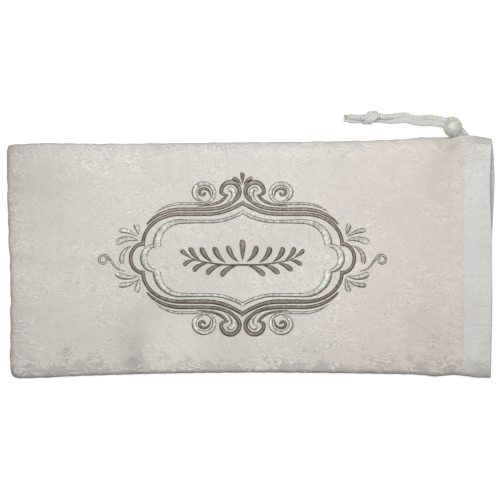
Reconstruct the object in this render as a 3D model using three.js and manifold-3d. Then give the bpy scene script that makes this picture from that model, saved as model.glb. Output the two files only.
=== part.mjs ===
// A cloth case with a drawstring mouth, lying flat on its back, empty.
// Millimetres, +Z up. X runs along the case towards its mouth and Y across it.
// The origin is on the surface that the case lies on, under the middle of its two panels.
import * as THREE from "three";
import { mergeVertices } from "three/addons/utils/BufferGeometryUtils.js";
import Module from "manifold-3d";

const wasm = await Module();
wasm.setup();

// Driving dimensions
const HALF_LENGTH = 200; // half of the case from closed end to mouth
const HALF_WIDTH = 97; // half of the case from seam to seam
const CLOTH = 1.6; // one panel: face cloth, backing and lining sewn as one sheet
const GAP = 0.4; // between pieces that touch
const SEAM_HEIGHT = 2.2; // the sewn edge over the surface below
const CORNER_RADIUS = 7; // the two corners of the closed end, seen from above
const EDGE_ROLL = 7; // how far in from the seam the front panel rolls over, up to the corner radius
const BACK_ROLL = 4; // the same for the back panel, which lies flatter
const EDGE_RISE = 4.6; // front panel over the seam, just inside the roll
const CROWN_RISE = 3.4; // more rise to the middle of the front panel
const MOUTH_FALL = 0.9; // less rise again at the mouth
const CASING = { inner: 164.5, outer: 175.5, swell: 0.9, stitchDepth: 0.6, stitchWidth: 1.7 };
const CORD_EXIT = { x: 176.2, lift: 5.9, halfWidth: 5.2, fade: 6, reach: 12 };
const CORD_DIAMETER = 3.6;
const BEAD_RADIUS = 8;
const BEAD_BORE_RADIUS = 4.2;
const BEAD_CENTRE = new THREE.Vector3(167.15, 107.65, 8.05);
const BEAD_BORE_AXIS = new THREE.Vector3(-0.784, 0.588, 0.196).normalize();
const KNOT = {
  centre: new THREE.Vector3(99.2, 114.8, 5.6), turns: 2, pitch: 3.4, slant: 2.4, radius: 3.95, strand: 3.2,
};

// Outline, seen from above: each row is a place along an edge and how far out the edge is there.
const TOP_EDGE = [
  { at: -200, out: 91.9 }, { at: -190, out: 92.3 }, { at: -172, out: 93.2 }, { at: -120, out: 92.7 },
  { at: -20, out: 93.7 }, { at: 75, out: 94.8 }, { at: 122, out: 96.2 }, { at: 142, out: 97.8 },
  { at: 166, out: 98.2 }, { at: 180, out: 100.1 }, { at: 190, out: 98.5 }, { at: 200, out: 97.2 },
];
const BOTTOM_EDGE = [
  { at: -200, out: -100 }, { at: -190, out: -100 }, { at: -170, out: -99.4 }, { at: -140, out: -98 },
  { at: -60, out: -95.9 }, { at: 20, out: -95.3 }, { at: 108, out: -96.3 }, { at: 142, out: -97.2 },
  { at: 156, out: -98.6 }, { at: 169, out: -97.2 }, { at: 190, out: -99.4 }, { at: 200, out: -99.8 },
];
const CLOSED_END = [
  { at: -97, out: -197.7 }, { at: -88, out: -198.1 }, { at: -50, out: -197.9 }, { at: -12, out: -198 },
  { at: 20, out: -199.4 }, { at: 60, out: -200.5 }, { at: 88, out: -200.8 }, { at: 97, out: -200.6 },
];
const FRONT_LIP = [
  { at: -97, out: 197.6 }, { at: -36, out: 198.5 }, { at: 13, out: 198.5 }, { at: 62, out: 197 }, { at: 97, out: 199 },
];
const BACK_LIP = [
  { at: -97, out: 198.4 }, { at: -36, out: 199.7 }, { at: 13, out: 199.4 },
  { at: 62, out: 201.6 }, { at: 84, out: 200.8 }, { at: 97, out: 199.3 },
];

// Soft ridges (rise above 0) and troughs of the front panel: middle, direction in degrees, half-sizes and rise.
const FOLDS = [
  { x: -180, y: 50, turn: 3, length: 36, width: 9, rise: -1.1 },
  { x: -176, y: 30, turn: 5, length: 40, width: 8, rise: 0.9 },
  { x: -182, y: -9, turn: -4, length: 30, width: 8, rise: -0.9 },
  { x: -184, y: -52, turn: 8, length: 24, width: 12, rise: -0.6 },
  { x: -102, y: -74, turn: 72, length: 26, width: 11, rise: -1.4 },
  { x: -72, y: -78, turn: 64, length: 22, width: 9, rise: 0.7 },
  { x: 148, y: -72, turn: 78, length: 30, width: 11, rise: -1.2 },
  { x: 168, y: 86, turn: 62, length: 10, width: 4.5, rise: -0.8 },
  { x: 113, y: 90, turn: 88, length: 8, width: 3, rise: -0.7 },
  { x: 100, y: 60, turn: 14, length: 62, width: 22, rise: 0.8 },
  { x: -20, y: 82, turn: 1, length: 90, width: 9, rise: 0.5 },
  { x: 60, y: -82, turn: -2, length: 46, width: 8, rise: -0.5 },
];

// Grid lines across a panel: each row runs on to a place in equal steps, closer together where the cloth bends.
const FRONT_COLUMNS = [
  { to: -198.6, steps: 2 }, { to: -192, steps: 3 }, { to: 150, steps: 27 }, { to: 190, steps: 17 }, { to: 200, steps: 2 },
];
const BACK_COLUMNS = [
  { to: -199, steps: 2 }, { to: -195, steps: 2 }, { to: 160, steps: 16 }, { to: 200, steps: 7 },
];
const FRONT_ROWS = [
  { to: -95.6, steps: 2 }, { to: -89, steps: 3 }, { to: 89, steps: 18 }, { to: 95.6, steps: 3 }, { to: 97, steps: 2 },
];
const BACK_ROWS = [
  { to: -96, steps: 2 }, { to: -92, steps: 2 }, { to: 92, steps: 8 }, { to: 96, steps: 2 }, { to: 97, steps: 2 },
];

// Routes of the two cord strands, from inside the casing, through the bead, to the knot.
const UPPER_STRAND = [
  [180.4, 93.6, 4.1], [179.6, 97.2, 4.1], [178.4, 100.6, 4.5], [176.6, 103.0, 5.4], [173.73, 105.2, 6.72],
  [168.4, 109.2, 8.05], [163.07, 113.2, 9.38], [159.5, 115.0, 9.6], [155.5, 115.8, 9.0], [151, 115.8, 7.6],
  [146.5, 115.5, 5.8], [142, 115.1, 4.1], [137.5, 114.9, 2.8], [133, 115.3, 2.1], [128.5, 116.1, 1.9],
  [123.5, 116.8, 1.9], [118.5, 117.0, 2.6], [114.2, 116.8, 4.6], [110.6, 116.5, 6.3], [107.2, 116.2, 7.1],
];
const LOWER_STRAND = [
  [176.4, 91.8, 4.1], [175.7, 95.4, 4.1], [174.6, 98.9, 4.4], [173.2, 100.5, 5.3], [171.33, 102.0, 6.72],
  [166.0, 106.0, 8.05], [160.67, 110.0, 9.38], [157.2, 111.4, 9.6], [153.4, 111.6, 8.9], [149.2, 111.2, 7.4],
  [145, 110.7, 5.6], [140.8, 110.4, 3.9], [136.5, 110.6, 2.6], [132.2, 111.3, 2.0], [127.5, 112.1, 1.9],
  [122.5, 112.6, 1.9], [117.5, 112.7, 1.95], [113.2, 112.8, 2.7], [110.2, 112.9, 3.6], [107.2, 113.1, 4.2],
];
// The same strands on through the knot, to their free ends.
const UPPER_TAIL = [
  [106.62, 116.16, 7.22], [102, 115.9, 7.6], [97, 115.8, 7.3], [91.5, 115.8, 6.4], [86, 116, 4.6], [81, 116.1, 3.2], [76.8, 116.2, 2.4],
];
const LOWER_TAIL = [
  [106.75, 113.12, 4.28], [102, 113.3, 4.8], [97, 113.3, 4.8], [91.5, 113.2, 4.2], [86, 112.9, 2.8], [81, 112.8, 2.0], [76.3, 113, 1.9],
];
const CORD_SIDES = 8;
const STRAND_STEPS = 34;
const TAIL_STEPS = 14;
const WRAP_STEPS_PER_TURN = 16;

const CLOTH_FINISH = new THREE.MeshStandardMaterial({ color: 0xd6cfc6, roughness: 0.55, metalness: 0 });
const CORD_FINISH = new THREE.MeshStandardMaterial({ color: 0xd2d2ce, roughness: 0.6, metalness: 0 });
const BEAD_FINISH = new THREE.MeshStandardMaterial({ color: 0xcacabf, roughness: 0.25, metalness: 0 });

// Eases from 0 at the low end to 1 at the high end.
const ease = (low, high, value) => THREE.MathUtils.smoothstep(value, low, high);
const lerp = THREE.MathUtils.lerp;

// How far out an edge is at a place: a smooth cubic through the table's rows.
function edgeAt(rows, place) {
  const last = rows.length - 1;
  const i = THREE.MathUtils.clamp(rows.findIndex((row) => row.at > place) - 1, 0, last - 1);
  const k = place >= rows[last].at ? last - 1 : i;
  const slope = (n) => {
    const a = rows[Math.max(n - 1, 0)];
    const b = rows[Math.min(n + 1, last)];
    return (b.out - a.out) / (b.at - a.at);
  };
  const span = rows[k + 1].at - rows[k].at;
  const t = (place - rows[k].at) / span;
  const start = 2 * t ** 3 - 3 * t ** 2 + 1;
  const leave = (t ** 3 - 2 * t ** 2 + t) * span;
  const arrive = (t ** 3 - t ** 2) * span;
  return start * rows[k].out + (1 - start) * rows[k + 1].out + leave * slope(k) + arrive * slope(k + 1);
}

// A place on a panel, from its nominal x and y, with its distance in from the sewn edges.
// Past the corner radius that distance no longer counts up.
function onOutline(x, y, lip) {
  const along = (x + HALF_LENGTH) / (2 * HALF_LENGTH);
  const across = (y + HALF_WIDTH) / (2 * HALF_WIDTH);
  const end = edgeAt(CLOSED_END, y);
  const top = edgeAt(TOP_EDGE, x);
  const bottom = edgeAt(BOTTOM_EDGE, x);
  const squareX = lerp(end, edgeAt(lip, y), along);
  const squareY = lerp(bottom, top, across);
  const nearEnd = nearness(squareX - end);
  const nearTop = nearness(top - squareY);
  const nearBottom = nearness(squareY - bottom);
  const nearSide = nearTop + nearBottom;
  const roundEnd = nearEnd * Math.sqrt(1 - nearSide ** 2 / 2);
  const roundSide = nearSide * Math.sqrt(1 - nearEnd ** 2 / 2);
  const inward = CORNER_RADIUS * (nearSide - roundSide) * Math.sign(nearTop - nearBottom);
  return {
    along,
    across,
    x: squareX + CORNER_RADIUS * (nearEnd - roundEnd),
    y: squareY - inward,
    fromTop: top - squareY,
    fromSeam: CORNER_RADIUS * (1 - Math.hypot(roundEnd, roundSide)),
  };
}

// 1 at an edge, 0 from the corner radius inwards.
const nearness = (distance) => THREE.MathUtils.clamp(1 - distance / CORNER_RADIUS, 0, 1);

// A rolled edge in section: a quarter round from 0 at the seam to 1 where the roll ends.
function roll(distance, width) {
  const left = 1 - THREE.MathUtils.clamp(distance / width, 0, 1);
  return Math.sqrt(1 - left * left);
}

// Rise of the soft ridges and troughs at a place.
function foldRise(x, y) {
  let rise = 0;
  for (const fold of FOLDS) {
    const turn = THREE.MathUtils.degToRad(fold.turn);
    const lengthwise = (x - fold.x) * Math.cos(turn) + (y - fold.y) * Math.sin(turn);
    const sideways = (y - fold.y) * Math.cos(turn) - (x - fold.x) * Math.sin(turn);
    rise += fold.rise * Math.exp(-((lengthwise / fold.length) ** 2) - (sideways / fold.width) ** 2);
  }
  return rise;
}

// The drawstring casing: a swell between two rows of stitches, which draw the cloth in.
function casingRise(x) {
  const middle = (CASING.inner + CASING.outer) / 2;
  const half = (CASING.outer - CASING.inner) / 2;
  const inside = Math.max(0, 1 - ((x - middle) / half) ** 2);
  const stitch = (line) => Math.exp(-(((x - line) / CASING.stitchWidth) ** 2));
  return CASING.swell * inside - CASING.stitchDepth * (stitch(CASING.inner) + stitch(CASING.outer));
}

// The front panel is lifted over the cord where it leaves the casing, through a gap in the seam.
function exitLift(x, fromTop) {
  const off = Math.abs(x - CORD_EXIT.x) - CORD_EXIT.halfWidth;
  return CORD_EXIT.lift * (1 - ease(0, CORD_EXIT.fade, off)) * (1 - ease(0, CORD_EXIT.reach, fromTop));
}

// Middle of the front panel's cloth: rolled over at three sewn edges, crowned between them, open at the mouth.
function frontCloth(x, y) {
  const p = onOutline(x, y, FRONT_LIP);
  const crown = (1 - Math.abs(2 * p.across - 1) ** 3) * (1 - (1 - p.along) ** 6);
  const rise = EDGE_RISE + CROWN_RISE * crown - MOUTH_FALL * ease(0.84, 1, p.along) + foldRise(p.x, p.y) + casingRise(p.x);
  const seam = SEAM_HEIGHT + GAP / 2;
  return new THREE.Vector3(p.x, p.y, seam + roll(p.fromSeam, EDGE_ROLL) * rise + exitLift(p.x, p.fromTop));
}

// Middle of the back panel's cloth: flat on the surface below, turned up to the seam at three edges.
function backCloth(x, y) {
  const p = onOutline(x, y, BACK_LIP);
  const seam = SEAM_HEIGHT - GAP / 2;
  return new THREE.Vector3(p.x, p.y, lerp(seam, CLOTH / 2, roll(p.fromSeam, BACK_ROLL)));
}

function gridLines(start, zones) {
  const lines = [start];
  for (const { to, steps } of zones) {
    const from = lines.at(-1);
    for (let i = 1; i <= steps; i++) lines.push(lerp(from, to, i / steps));
  }
  return lines;
}

// Unit normal of a panel, measured a hair inside its edges, where the cloth stands upright.
function normalAt(cloth, x, y) {
  const hair = 2e-4;
  const inX = THREE.MathUtils.clamp(x, hair - HALF_LENGTH, HALF_LENGTH - hair);
  const inY = THREE.MathUtils.clamp(y, hair - HALF_WIDTH, HALF_WIDTH - hair);
  const alongX = cloth(inX + hair / 2, inY).sub(cloth(inX - hair / 2, inY));
  const alongY = cloth(inX, inY + hair / 2).sub(cloth(inX, inY - hair / 2));
  return alongX.cross(alongY).normalize();
}

// A sheet of even thickness on a surface: two skins and the rim that joins them.
function sheetGeometry(cloth, columns, rows) {
  const face = [];
  const lining = [];
  for (const x of columns) {
    for (const y of rows) {
      const middle = cloth(x, y);
      const half = normalAt(cloth, x, y).multiplyScalar(CLOTH / 2);
      face.push(...middle.clone().add(half).toArray());
      lining.push(...middle.sub(half).toArray());
    }
  }
  const count = columns.length * rows.length;
  const lastColumn = columns.length - 1;
  const lastRow = rows.length - 1;
  const at = (i, j) => i * rows.length + j;
  const index = [];
  const quad = (a, b, c, d) => index.push(a, b, c, a, c, d);
  for (let i = 0; i < lastColumn; i++) {
    for (let j = 0; j < lastRow; j++) {
      const corners = [at(i, j), at(i + 1, j), at(i + 1, j + 1), at(i, j + 1)];
      quad(...corners);
      quad(...corners.reverse().map((corner) => corner + count));
    }
    quad(at(i, 0) + count, at(i + 1, 0) + count, at(i + 1, 0), at(i, 0));
    quad(at(i + 1, lastRow) + count, at(i, lastRow) + count, at(i, lastRow), at(i + 1, lastRow));
  }
  for (let j = 0; j < lastRow; j++) {
    quad(at(0, j + 1) + count, at(0, j) + count, at(0, j), at(0, j + 1));
    quad(at(lastColumn, j) + count, at(lastColumn, j + 1) + count, at(lastColumn, j + 1), at(lastColumn, j));
  }
  const geometry = new THREE.BufferGeometry();
  geometry.setAttribute("position", new THREE.Float32BufferAttribute([...face, ...lining], 3));
  geometry.setIndex(index);
  geometry.computeVertexNormals();
  return geometry;
}

// A round cord along a smooth curve.
function cordGeometry(curve, diameter, steps) {
  const section = new THREE.Shape();
  for (let i = 0; i < CORD_SIDES; i++) {
    const angle = (2 * Math.PI * i) / CORD_SIDES;
    const point = [(diameter / 2) * Math.cos(angle), (diameter / 2) * Math.sin(angle)];
    if (i === 0) section.moveTo(...point);
    else section.lineTo(...point);
  }
  return new THREE.ExtrudeGeometry(section, { steps, extrudePath: curve });
}

const curveThrough = (points) => new THREE.CatmullRomCurve3(points.map((point) => new THREE.Vector3(...point)));

// The knot's wrap: slanting turns round the two strands, its ends drawn in among them.
class KnotWrap extends THREE.Curve {
  getPoint(t, target = new THREE.Vector3()) {
    const angle = 2 * Math.PI * KNOT.turns * t;
    const tuck = ease(0, 0.12, t) * (1 - ease(0.88, 1, t));
    const radius = KNOT.radius * lerp(0.35, 1, tuck);
    const along = KNOT.pitch * KNOT.turns * (0.5 - t) + KNOT.slant * Math.cos(angle);
    return target.set(along, radius * Math.cos(angle), radius * Math.sin(angle)).add(KNOT.centre);
  }
}

function solidFrom(geometry) {
  const bare = geometry.index ? geometry.toNonIndexed() : geometry.clone();
  bare.deleteAttribute("normal");
  bare.deleteAttribute("uv");
  const merged = mergeVertices(bare, 1e-3);
  return new wasm.Manifold(
    new wasm.Mesh({
      numProp: 3,
      vertProperties: new Float32Array(merged.attributes.position.array),
      triVerts: new Uint32Array(merged.index.array),
    }),
  );
}

function geometryFrom(solid) {
  const { vertProperties, triVerts } = solid.getMesh();
  const geometry = new THREE.BufferGeometry();
  geometry.setAttribute("position", new THREE.BufferAttribute(vertProperties, 3));
  geometry.setIndex(new THREE.BufferAttribute(triVerts, 1));
  geometry.computeVertexNormals();
  return geometry;
}

// Overhand knot: both strands with their free ends, and the turns that grip them, pulled into one.
function knotGeometry() {
  const wrap = cordGeometry(new KnotWrap(), KNOT.strand, KNOT.turns * WRAP_STEPS_PER_TURN);
  let knot = solidFrom(wrap);
  for (const tail of [UPPER_TAIL, LOWER_TAIL]) {
    knot = knot.add(solidFrom(cordGeometry(curveThrough(tail), CORD_DIAMETER, TAIL_STEPS)));
  }
  return geometryFrom(knot);
}

// Stopper bead: a ball with a bore for both strands.
function beadGeometry() {
  const rim = Math.acos(BEAD_BORE_RADIUS / BEAD_RADIUS);
  const arcSteps = 14;
  const profile = [];
  for (let i = 0; i <= arcSteps; i++) {
    const angle = lerp(-rim, rim, i / arcSteps);
    profile.push(new THREE.Vector2(BEAD_RADIUS * Math.cos(angle), BEAD_RADIUS * Math.sin(angle)));
  }
  profile.push(profile[0].clone());
  return new THREE.LatheGeometry(profile, 28);
}

function piece(name, geometry, material) {
  const mesh = new THREE.Mesh(geometry, material);
  mesh.name = name;
  return mesh;
}

function panels() {
  const group = new THREE.Group();
  const front = sheetGeometry(frontCloth, gridLines(-HALF_LENGTH, FRONT_COLUMNS), gridLines(-HALF_WIDTH, FRONT_ROWS));
  const back = sheetGeometry(backCloth, gridLines(-HALF_LENGTH, BACK_COLUMNS), gridLines(-HALF_WIDTH, BACK_ROWS));
  group.add(piece("front_panel", front, CLOTH_FINISH), piece("back_panel", back, CLOTH_FINISH));
  return group;
}

function drawstring() {
  const group = new THREE.Group();
  const strand = (route) => cordGeometry(curveThrough(route), CORD_DIAMETER, STRAND_STEPS);
  const bead = piece("stopper_bead", beadGeometry(), BEAD_FINISH);
  bead.position.copy(BEAD_CENTRE);
  bead.quaternion.setFromUnitVectors(new THREE.Vector3(0, 1, 0), BEAD_BORE_AXIS);
  group.add(
    piece("cord_strand_upper", strand(UPPER_STRAND), CORD_FINISH),
    piece("cord_strand_lower", strand(LOWER_STRAND), CORD_FINISH),
    piece("cord_knot", knotGeometry(), CORD_FINISH),
    bead,
  );
  return group;
}

const drawstringCase = new THREE.Group();
drawstringCase.add(panels(), drawstring());

export default drawstringCase;
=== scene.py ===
"""Looks of an ivory cloth case for a shofar, lying on its back under a camera straight above it.

Two panels of figured cloth are sewn together round three sides. The front one carries an embroidered
scroll frame, and a doubled cord with a pearly bead and a knot comes out of the casing by the mouth.
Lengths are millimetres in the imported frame's axes until a mesh is made. Finishes and the studio are in
metres.
"""

import logging
import math
from abc import ABC, abstractmethod
from dataclasses import dataclass
from enum import Enum

import bpy
import numpy as np
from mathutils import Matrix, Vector

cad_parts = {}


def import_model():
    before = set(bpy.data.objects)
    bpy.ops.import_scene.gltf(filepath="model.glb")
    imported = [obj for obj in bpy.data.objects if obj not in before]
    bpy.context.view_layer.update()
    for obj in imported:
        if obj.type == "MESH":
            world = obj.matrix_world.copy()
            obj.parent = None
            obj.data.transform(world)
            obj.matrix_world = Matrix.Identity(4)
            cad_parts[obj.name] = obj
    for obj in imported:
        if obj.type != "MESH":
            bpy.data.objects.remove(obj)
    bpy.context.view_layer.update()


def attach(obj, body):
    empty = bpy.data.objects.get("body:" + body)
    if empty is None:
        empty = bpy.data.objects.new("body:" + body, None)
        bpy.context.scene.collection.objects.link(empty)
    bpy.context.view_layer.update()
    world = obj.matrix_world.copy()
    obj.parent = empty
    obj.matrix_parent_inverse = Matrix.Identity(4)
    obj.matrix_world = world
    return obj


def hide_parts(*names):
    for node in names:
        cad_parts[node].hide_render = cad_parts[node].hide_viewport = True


LOG = logging.getLogger("case")
Array = np.ndarray
Pair = tuple[float, float]
Point = tuple[float, float, float]
Colour = tuple[float, float, float, float]
Table = tuple[tuple[float, ...], ...]
Socket = bpy.types.NodeSocket
Material = bpy.types.Material
Piece = bpy.types.Object

METRES = 0.001
TURN = 2 * math.pi
UP = (0.0, 0.0, 1.0)
WHITE = (1.0, 1.0, 1.0, 1.0)
TONE = "tone"

# A curve is measured at so many points to a step and a few more, and is cut into at least so many steps.
CURVE_FINENESS = 4
MORE_POINTS = 16
LEAST_STEPS = 6

# The cord's ribs: their pitch, and how far they sweep back at its sides, in ribs.
RIB_PITCH = 1.75
RIB_SWEEP = 0.35


def ease(low: float, high: float, value: Array) -> Array:
    """Smooth step: 0 up to low, 1 from high on, level at both ends."""
    share = np.clip((value - low) / (high - low), 0.0, 1.0)
    return share * share * (3.0 - 2.0 * share)


def mix(first: Array, second: Array, share: Array) -> Array:
    """Go from first to second by a share."""
    return first + (second - first) * share


def unit(vectors: Array) -> Array:
    """Scale each vector to length 1."""
    return vectors / np.linalg.norm(vectors, axis=-1, keepdims=True)


def reach_along(points: Array) -> Array:
    """Distance from the first point to each point, measured along them."""
    steps = np.linalg.norm(np.diff(points, axis=0), axis=1)
    return np.concatenate([[0.0], np.cumsum(steps)])


def read_curve(at: Array, rows: Array, place: Array) -> Array:
    """Read a smooth curve through rows.

    Each stretch is a cubic whose end slopes are those between a row's two neighbours.

    Args:
        at: Where each row stands, growing.
        rows: A row of values for each place in at.
        place: Where to read the curve.

    Returns:
        A row of values for each place asked for.
    """
    number = np.arange(len(at))
    before = np.maximum(number - 1, 0)
    after = np.minimum(number + 1, len(at) - 1)
    slopes = (rows[after] - rows[before]) / (at[after] - at[before])[:, None]
    k = np.clip(np.searchsorted(at, place, side="right") - 1, 0, len(at) - 2)
    span = (at[k + 1] - at[k])[..., None]
    t = (place - at[k])[..., None] / span
    start = 2 * t**3 - 3 * t**2 + 1
    leave = (t**3 - 2 * t**2 + t) * span * slopes[k]
    arrive = (t**3 - t**2) * span * slopes[k + 1]
    return start * rows[k] + (1 - start) * rows[k + 1] + leave + arrive


def read_edge(rows: Table, place: Array) -> Array:
    """Read a table of place and value pairs as one smooth line."""
    table = np.array(rows)
    return read_curve(table[:, 0], table[:, 1:], place)[..., 0]


def even_rows(rows: Array, spacing: float, axes: int) -> Array:
    """Cut the smooth curve through rows into even steps.

    The distance along the rows is the curve's parameter, and the curve is read again at even distances.

    Args:
        rows: Rows whose first columns are a position, with any carried values after them.
        spacing: The step wanted.
        axes: How many columns are the position.

    Returns:
        Rows an even step apart, the first and the last kept.
    """
    chord = reach_along(rows[:, :axes])
    fine = np.linspace(0.0, chord[-1], int(CURVE_FINENESS * chord[-1] / spacing) + MORE_POINTS)
    curve = read_curve(chord, rows, fine)
    reach = reach_along(curve[:, :axes])
    places = np.linspace(0.0, reach[-1], max(round(reach[-1] / spacing), LEAST_STEPS) + 1)
    return np.stack([np.interp(places, reach, column) for column in curve.T], axis=-1)


@dataclass
class Shape:
    """Points in millimetres, with quads and triangles and a surface place for each of their corners.

    Each point also carries a tone, which makes its finish lighter or darker there with painted light and
    shade.
    """

    points: Array
    tone: Array
    quads: Array
    quad_places: Array
    triangles: Array
    triangle_places: Array

    @staticmethod
    def on_grid(
        points: Array, places: Array, close_rows: bool = False, close_columns: bool = False
    ) -> "Shape":
        """Put quads on a grid of points, facing the way that rows crossed with columns point.

        Args:
            points: Rows by columns by three.
            places: The surface place of each point, with one row or column more where those close.
            close_rows: Whether the last row joins the first.
            close_columns: Whether the last column joins the first.

        Returns:
            The grid's shape.
        """
        rows, columns = points.shape[:2]
        first = np.arange(rows if close_rows else rows - 1)
        second = np.arange(columns if close_columns else columns - 1)
        i, j = np.meshgrid(first, second, indexing="ij")
        corners = ((i, j), (i + 1, j), (i + 1, j + 1), (i, j + 1))
        quads = np.stack([(a % rows) * columns + b % columns for a, b in corners], axis=-1)
        corner_places = np.stack([places[a, b] for a, b in corners], axis=-2)
        return Shape(
            points.reshape(-1, 3),
            np.ones(rows * columns),
            quads.reshape(-1, 4),
            corner_places.reshape(-1, 4, 2),
            np.zeros((0, 3), int),
            np.zeros((0, 3, 2)),
        )

    @staticmethod
    def joined(shapes: list["Shape"]) -> "Shape":
        """Put several shapes into one.

        Args:
            shapes: The shapes, in order.

        Returns:
            One shape with all their points and faces.
        """
        starts = np.cumsum([0] + [len(shape.points) for shape in shapes])
        return Shape(
            np.concatenate([shape.points for shape in shapes]),
            np.concatenate([shape.tone for shape in shapes]),
            np.concatenate([shape.quads + start for shape, start in zip(shapes, starts)]),
            np.concatenate([shape.quad_places for shape in shapes]),
            np.concatenate([shape.triangles + start for shape, start in zip(shapes, starts)]),
            np.concatenate([shape.triangle_places for shape in shapes]),
        )

    def add_quads(self, quads: Array) -> None:
        """Add quads that need no surface place of their own."""
        self.quads = np.concatenate([self.quads, quads])
        self.quad_places = np.concatenate([self.quad_places, np.full((len(quads), 4, 2), 0.5)])

    def add_fan(self, ring: Array, place: Pair) -> None:
        """Close a ring of points with a fan of triangles, facing the way that the ring turns.

        Args:
            ring: Numbers of the points.
            place: The surface place of all its corners.
        """
        fan = np.stack([np.full(len(ring) - 2, ring[0]), ring[1:-1], ring[2:]], axis=-1)
        self.triangles = np.concatenate([self.triangles, fan])
        self.triangle_places = np.concatenate([self.triangle_places, np.full((len(fan), 3, 2), place)])


def lattice(along: Array, across: Array) -> Array:
    """Surface places for a grid: one number for each row and one for each column."""
    return np.stack(np.meshgrid(along, across, indexing="ij"), axis=-1)


def tube(path: Array, radius: Array, hint: Point, flatness: float = 0.0) -> Shape:
    """Carry a ring along a path and close both ends.

    A point is the path plus its radius times the cosine of its angle sideways and minus the sine upwards,
    with sideways square to the path and to the hint. The places are millimetres along and turns around.

    Args:
        path: The ring centres.
        radius: A radius for each ring and side.
        hint: A direction that the path never runs along.
        flatness: How much wider than round the section is, and how much lower.

    Returns:
        A closed tube.
    """
    rings, sides = radius.shape
    forward = unit(np.gradient(path, axis=0))
    side = unit(np.cross(np.array(hint), forward))
    above = np.cross(forward, side)
    angle = np.linspace(0.0, TURN, sides, endpoint=False)[None, :, None]
    wide, low = 1 + flatness, 1 - flatness
    spoke = wide * np.cos(angle) * side[:, None] - low * np.sin(angle) * above[:, None]
    points = path[:, None] + radius[..., None] * spoke
    along = reach_along(path)
    places = lattice(along, np.linspace(0.0, 1.0, sides + 1))
    shape = Shape.on_grid(points, places, close_columns=True)
    ring = np.arange(sides)
    shape.add_fan(ring, (along[0], 0.5))
    shape.add_fan((rings - 1) * sides + ring[::-1], (along[-1], 0.5))
    return shape


class Value:
    """A number that changes over a surface: a node's output, with arithmetic that adds Math nodes."""

    def __init__(self, bench: "Bench", socket: Socket) -> None:
        """Wrap an output socket."""
        self.bench = bench
        self.socket = socket

    def math(self, operation: str, *operands: "Value | float") -> "Value":
        """Add a Math node.

        Args:
            operation: What it works out.
            operands: Its inputs, in order.

        Returns:
            Its output.
        """
        node = self.bench.node("ShaderNodeMath", {"operation": operation}, dict(enumerate(operands)))
        return Value(self.bench, node.outputs[0])

    def __add__(self, other: "Value | float") -> "Value":
        """Sum."""
        return self.math("ADD", self, other)

    def __radd__(self, other: float) -> "Value":
        """Sum with a number on the left."""
        return self.math("ADD", other, self)

    def __sub__(self, other: "Value | float") -> "Value":
        """Difference."""
        return self.math("SUBTRACT", self, other)

    def __rsub__(self, other: float) -> "Value":
        """Difference from a number."""
        return self.math("SUBTRACT", other, self)

    def __mul__(self, other: "Value | float") -> "Value":
        """Product."""
        return self.math("MULTIPLY", self, other)

    def __rmul__(self, other: float) -> "Value":
        """Product with a number on the left."""
        return self.math("MULTIPLY", other, self)

    def __abs__(self) -> "Value":
        """Size without sign."""
        return self.math("ABSOLUTE", self)

    def wave(self) -> "Value":
        """Sine."""
        return self.math("SINE", self)

    def swell(self) -> "Value":
        """Sine, made to run from 0 to 1."""
        return self.wave() * 0.5 + 0.5

    def larger(self, other: "Value | float") -> "Value":
        """The larger of two."""
        return self.math("MAXIMUM", self, other)

    def eased(self, low: float, high: float) -> "Value":
        """Smooth step.

        Args:
            low: Where it gives 0.
            high: Where it gives 1, which may be the smaller number.

        Returns:
            A number from 0 to 1.
        """
        first, last = (0.0, 1.0) if low < high else (1.0, 0.0)
        sockets = {
            "Value": self,
            "From Min": min(low, high),
            "From Max": max(low, high),
            "To Min": first,
            "To Max": last,
        }
        node = self.bench.node("ShaderNodeMapRange", {"interpolation_type": "SMOOTHSTEP"}, sockets)
        return Value(self.bench, node.outputs["Result"])


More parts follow.
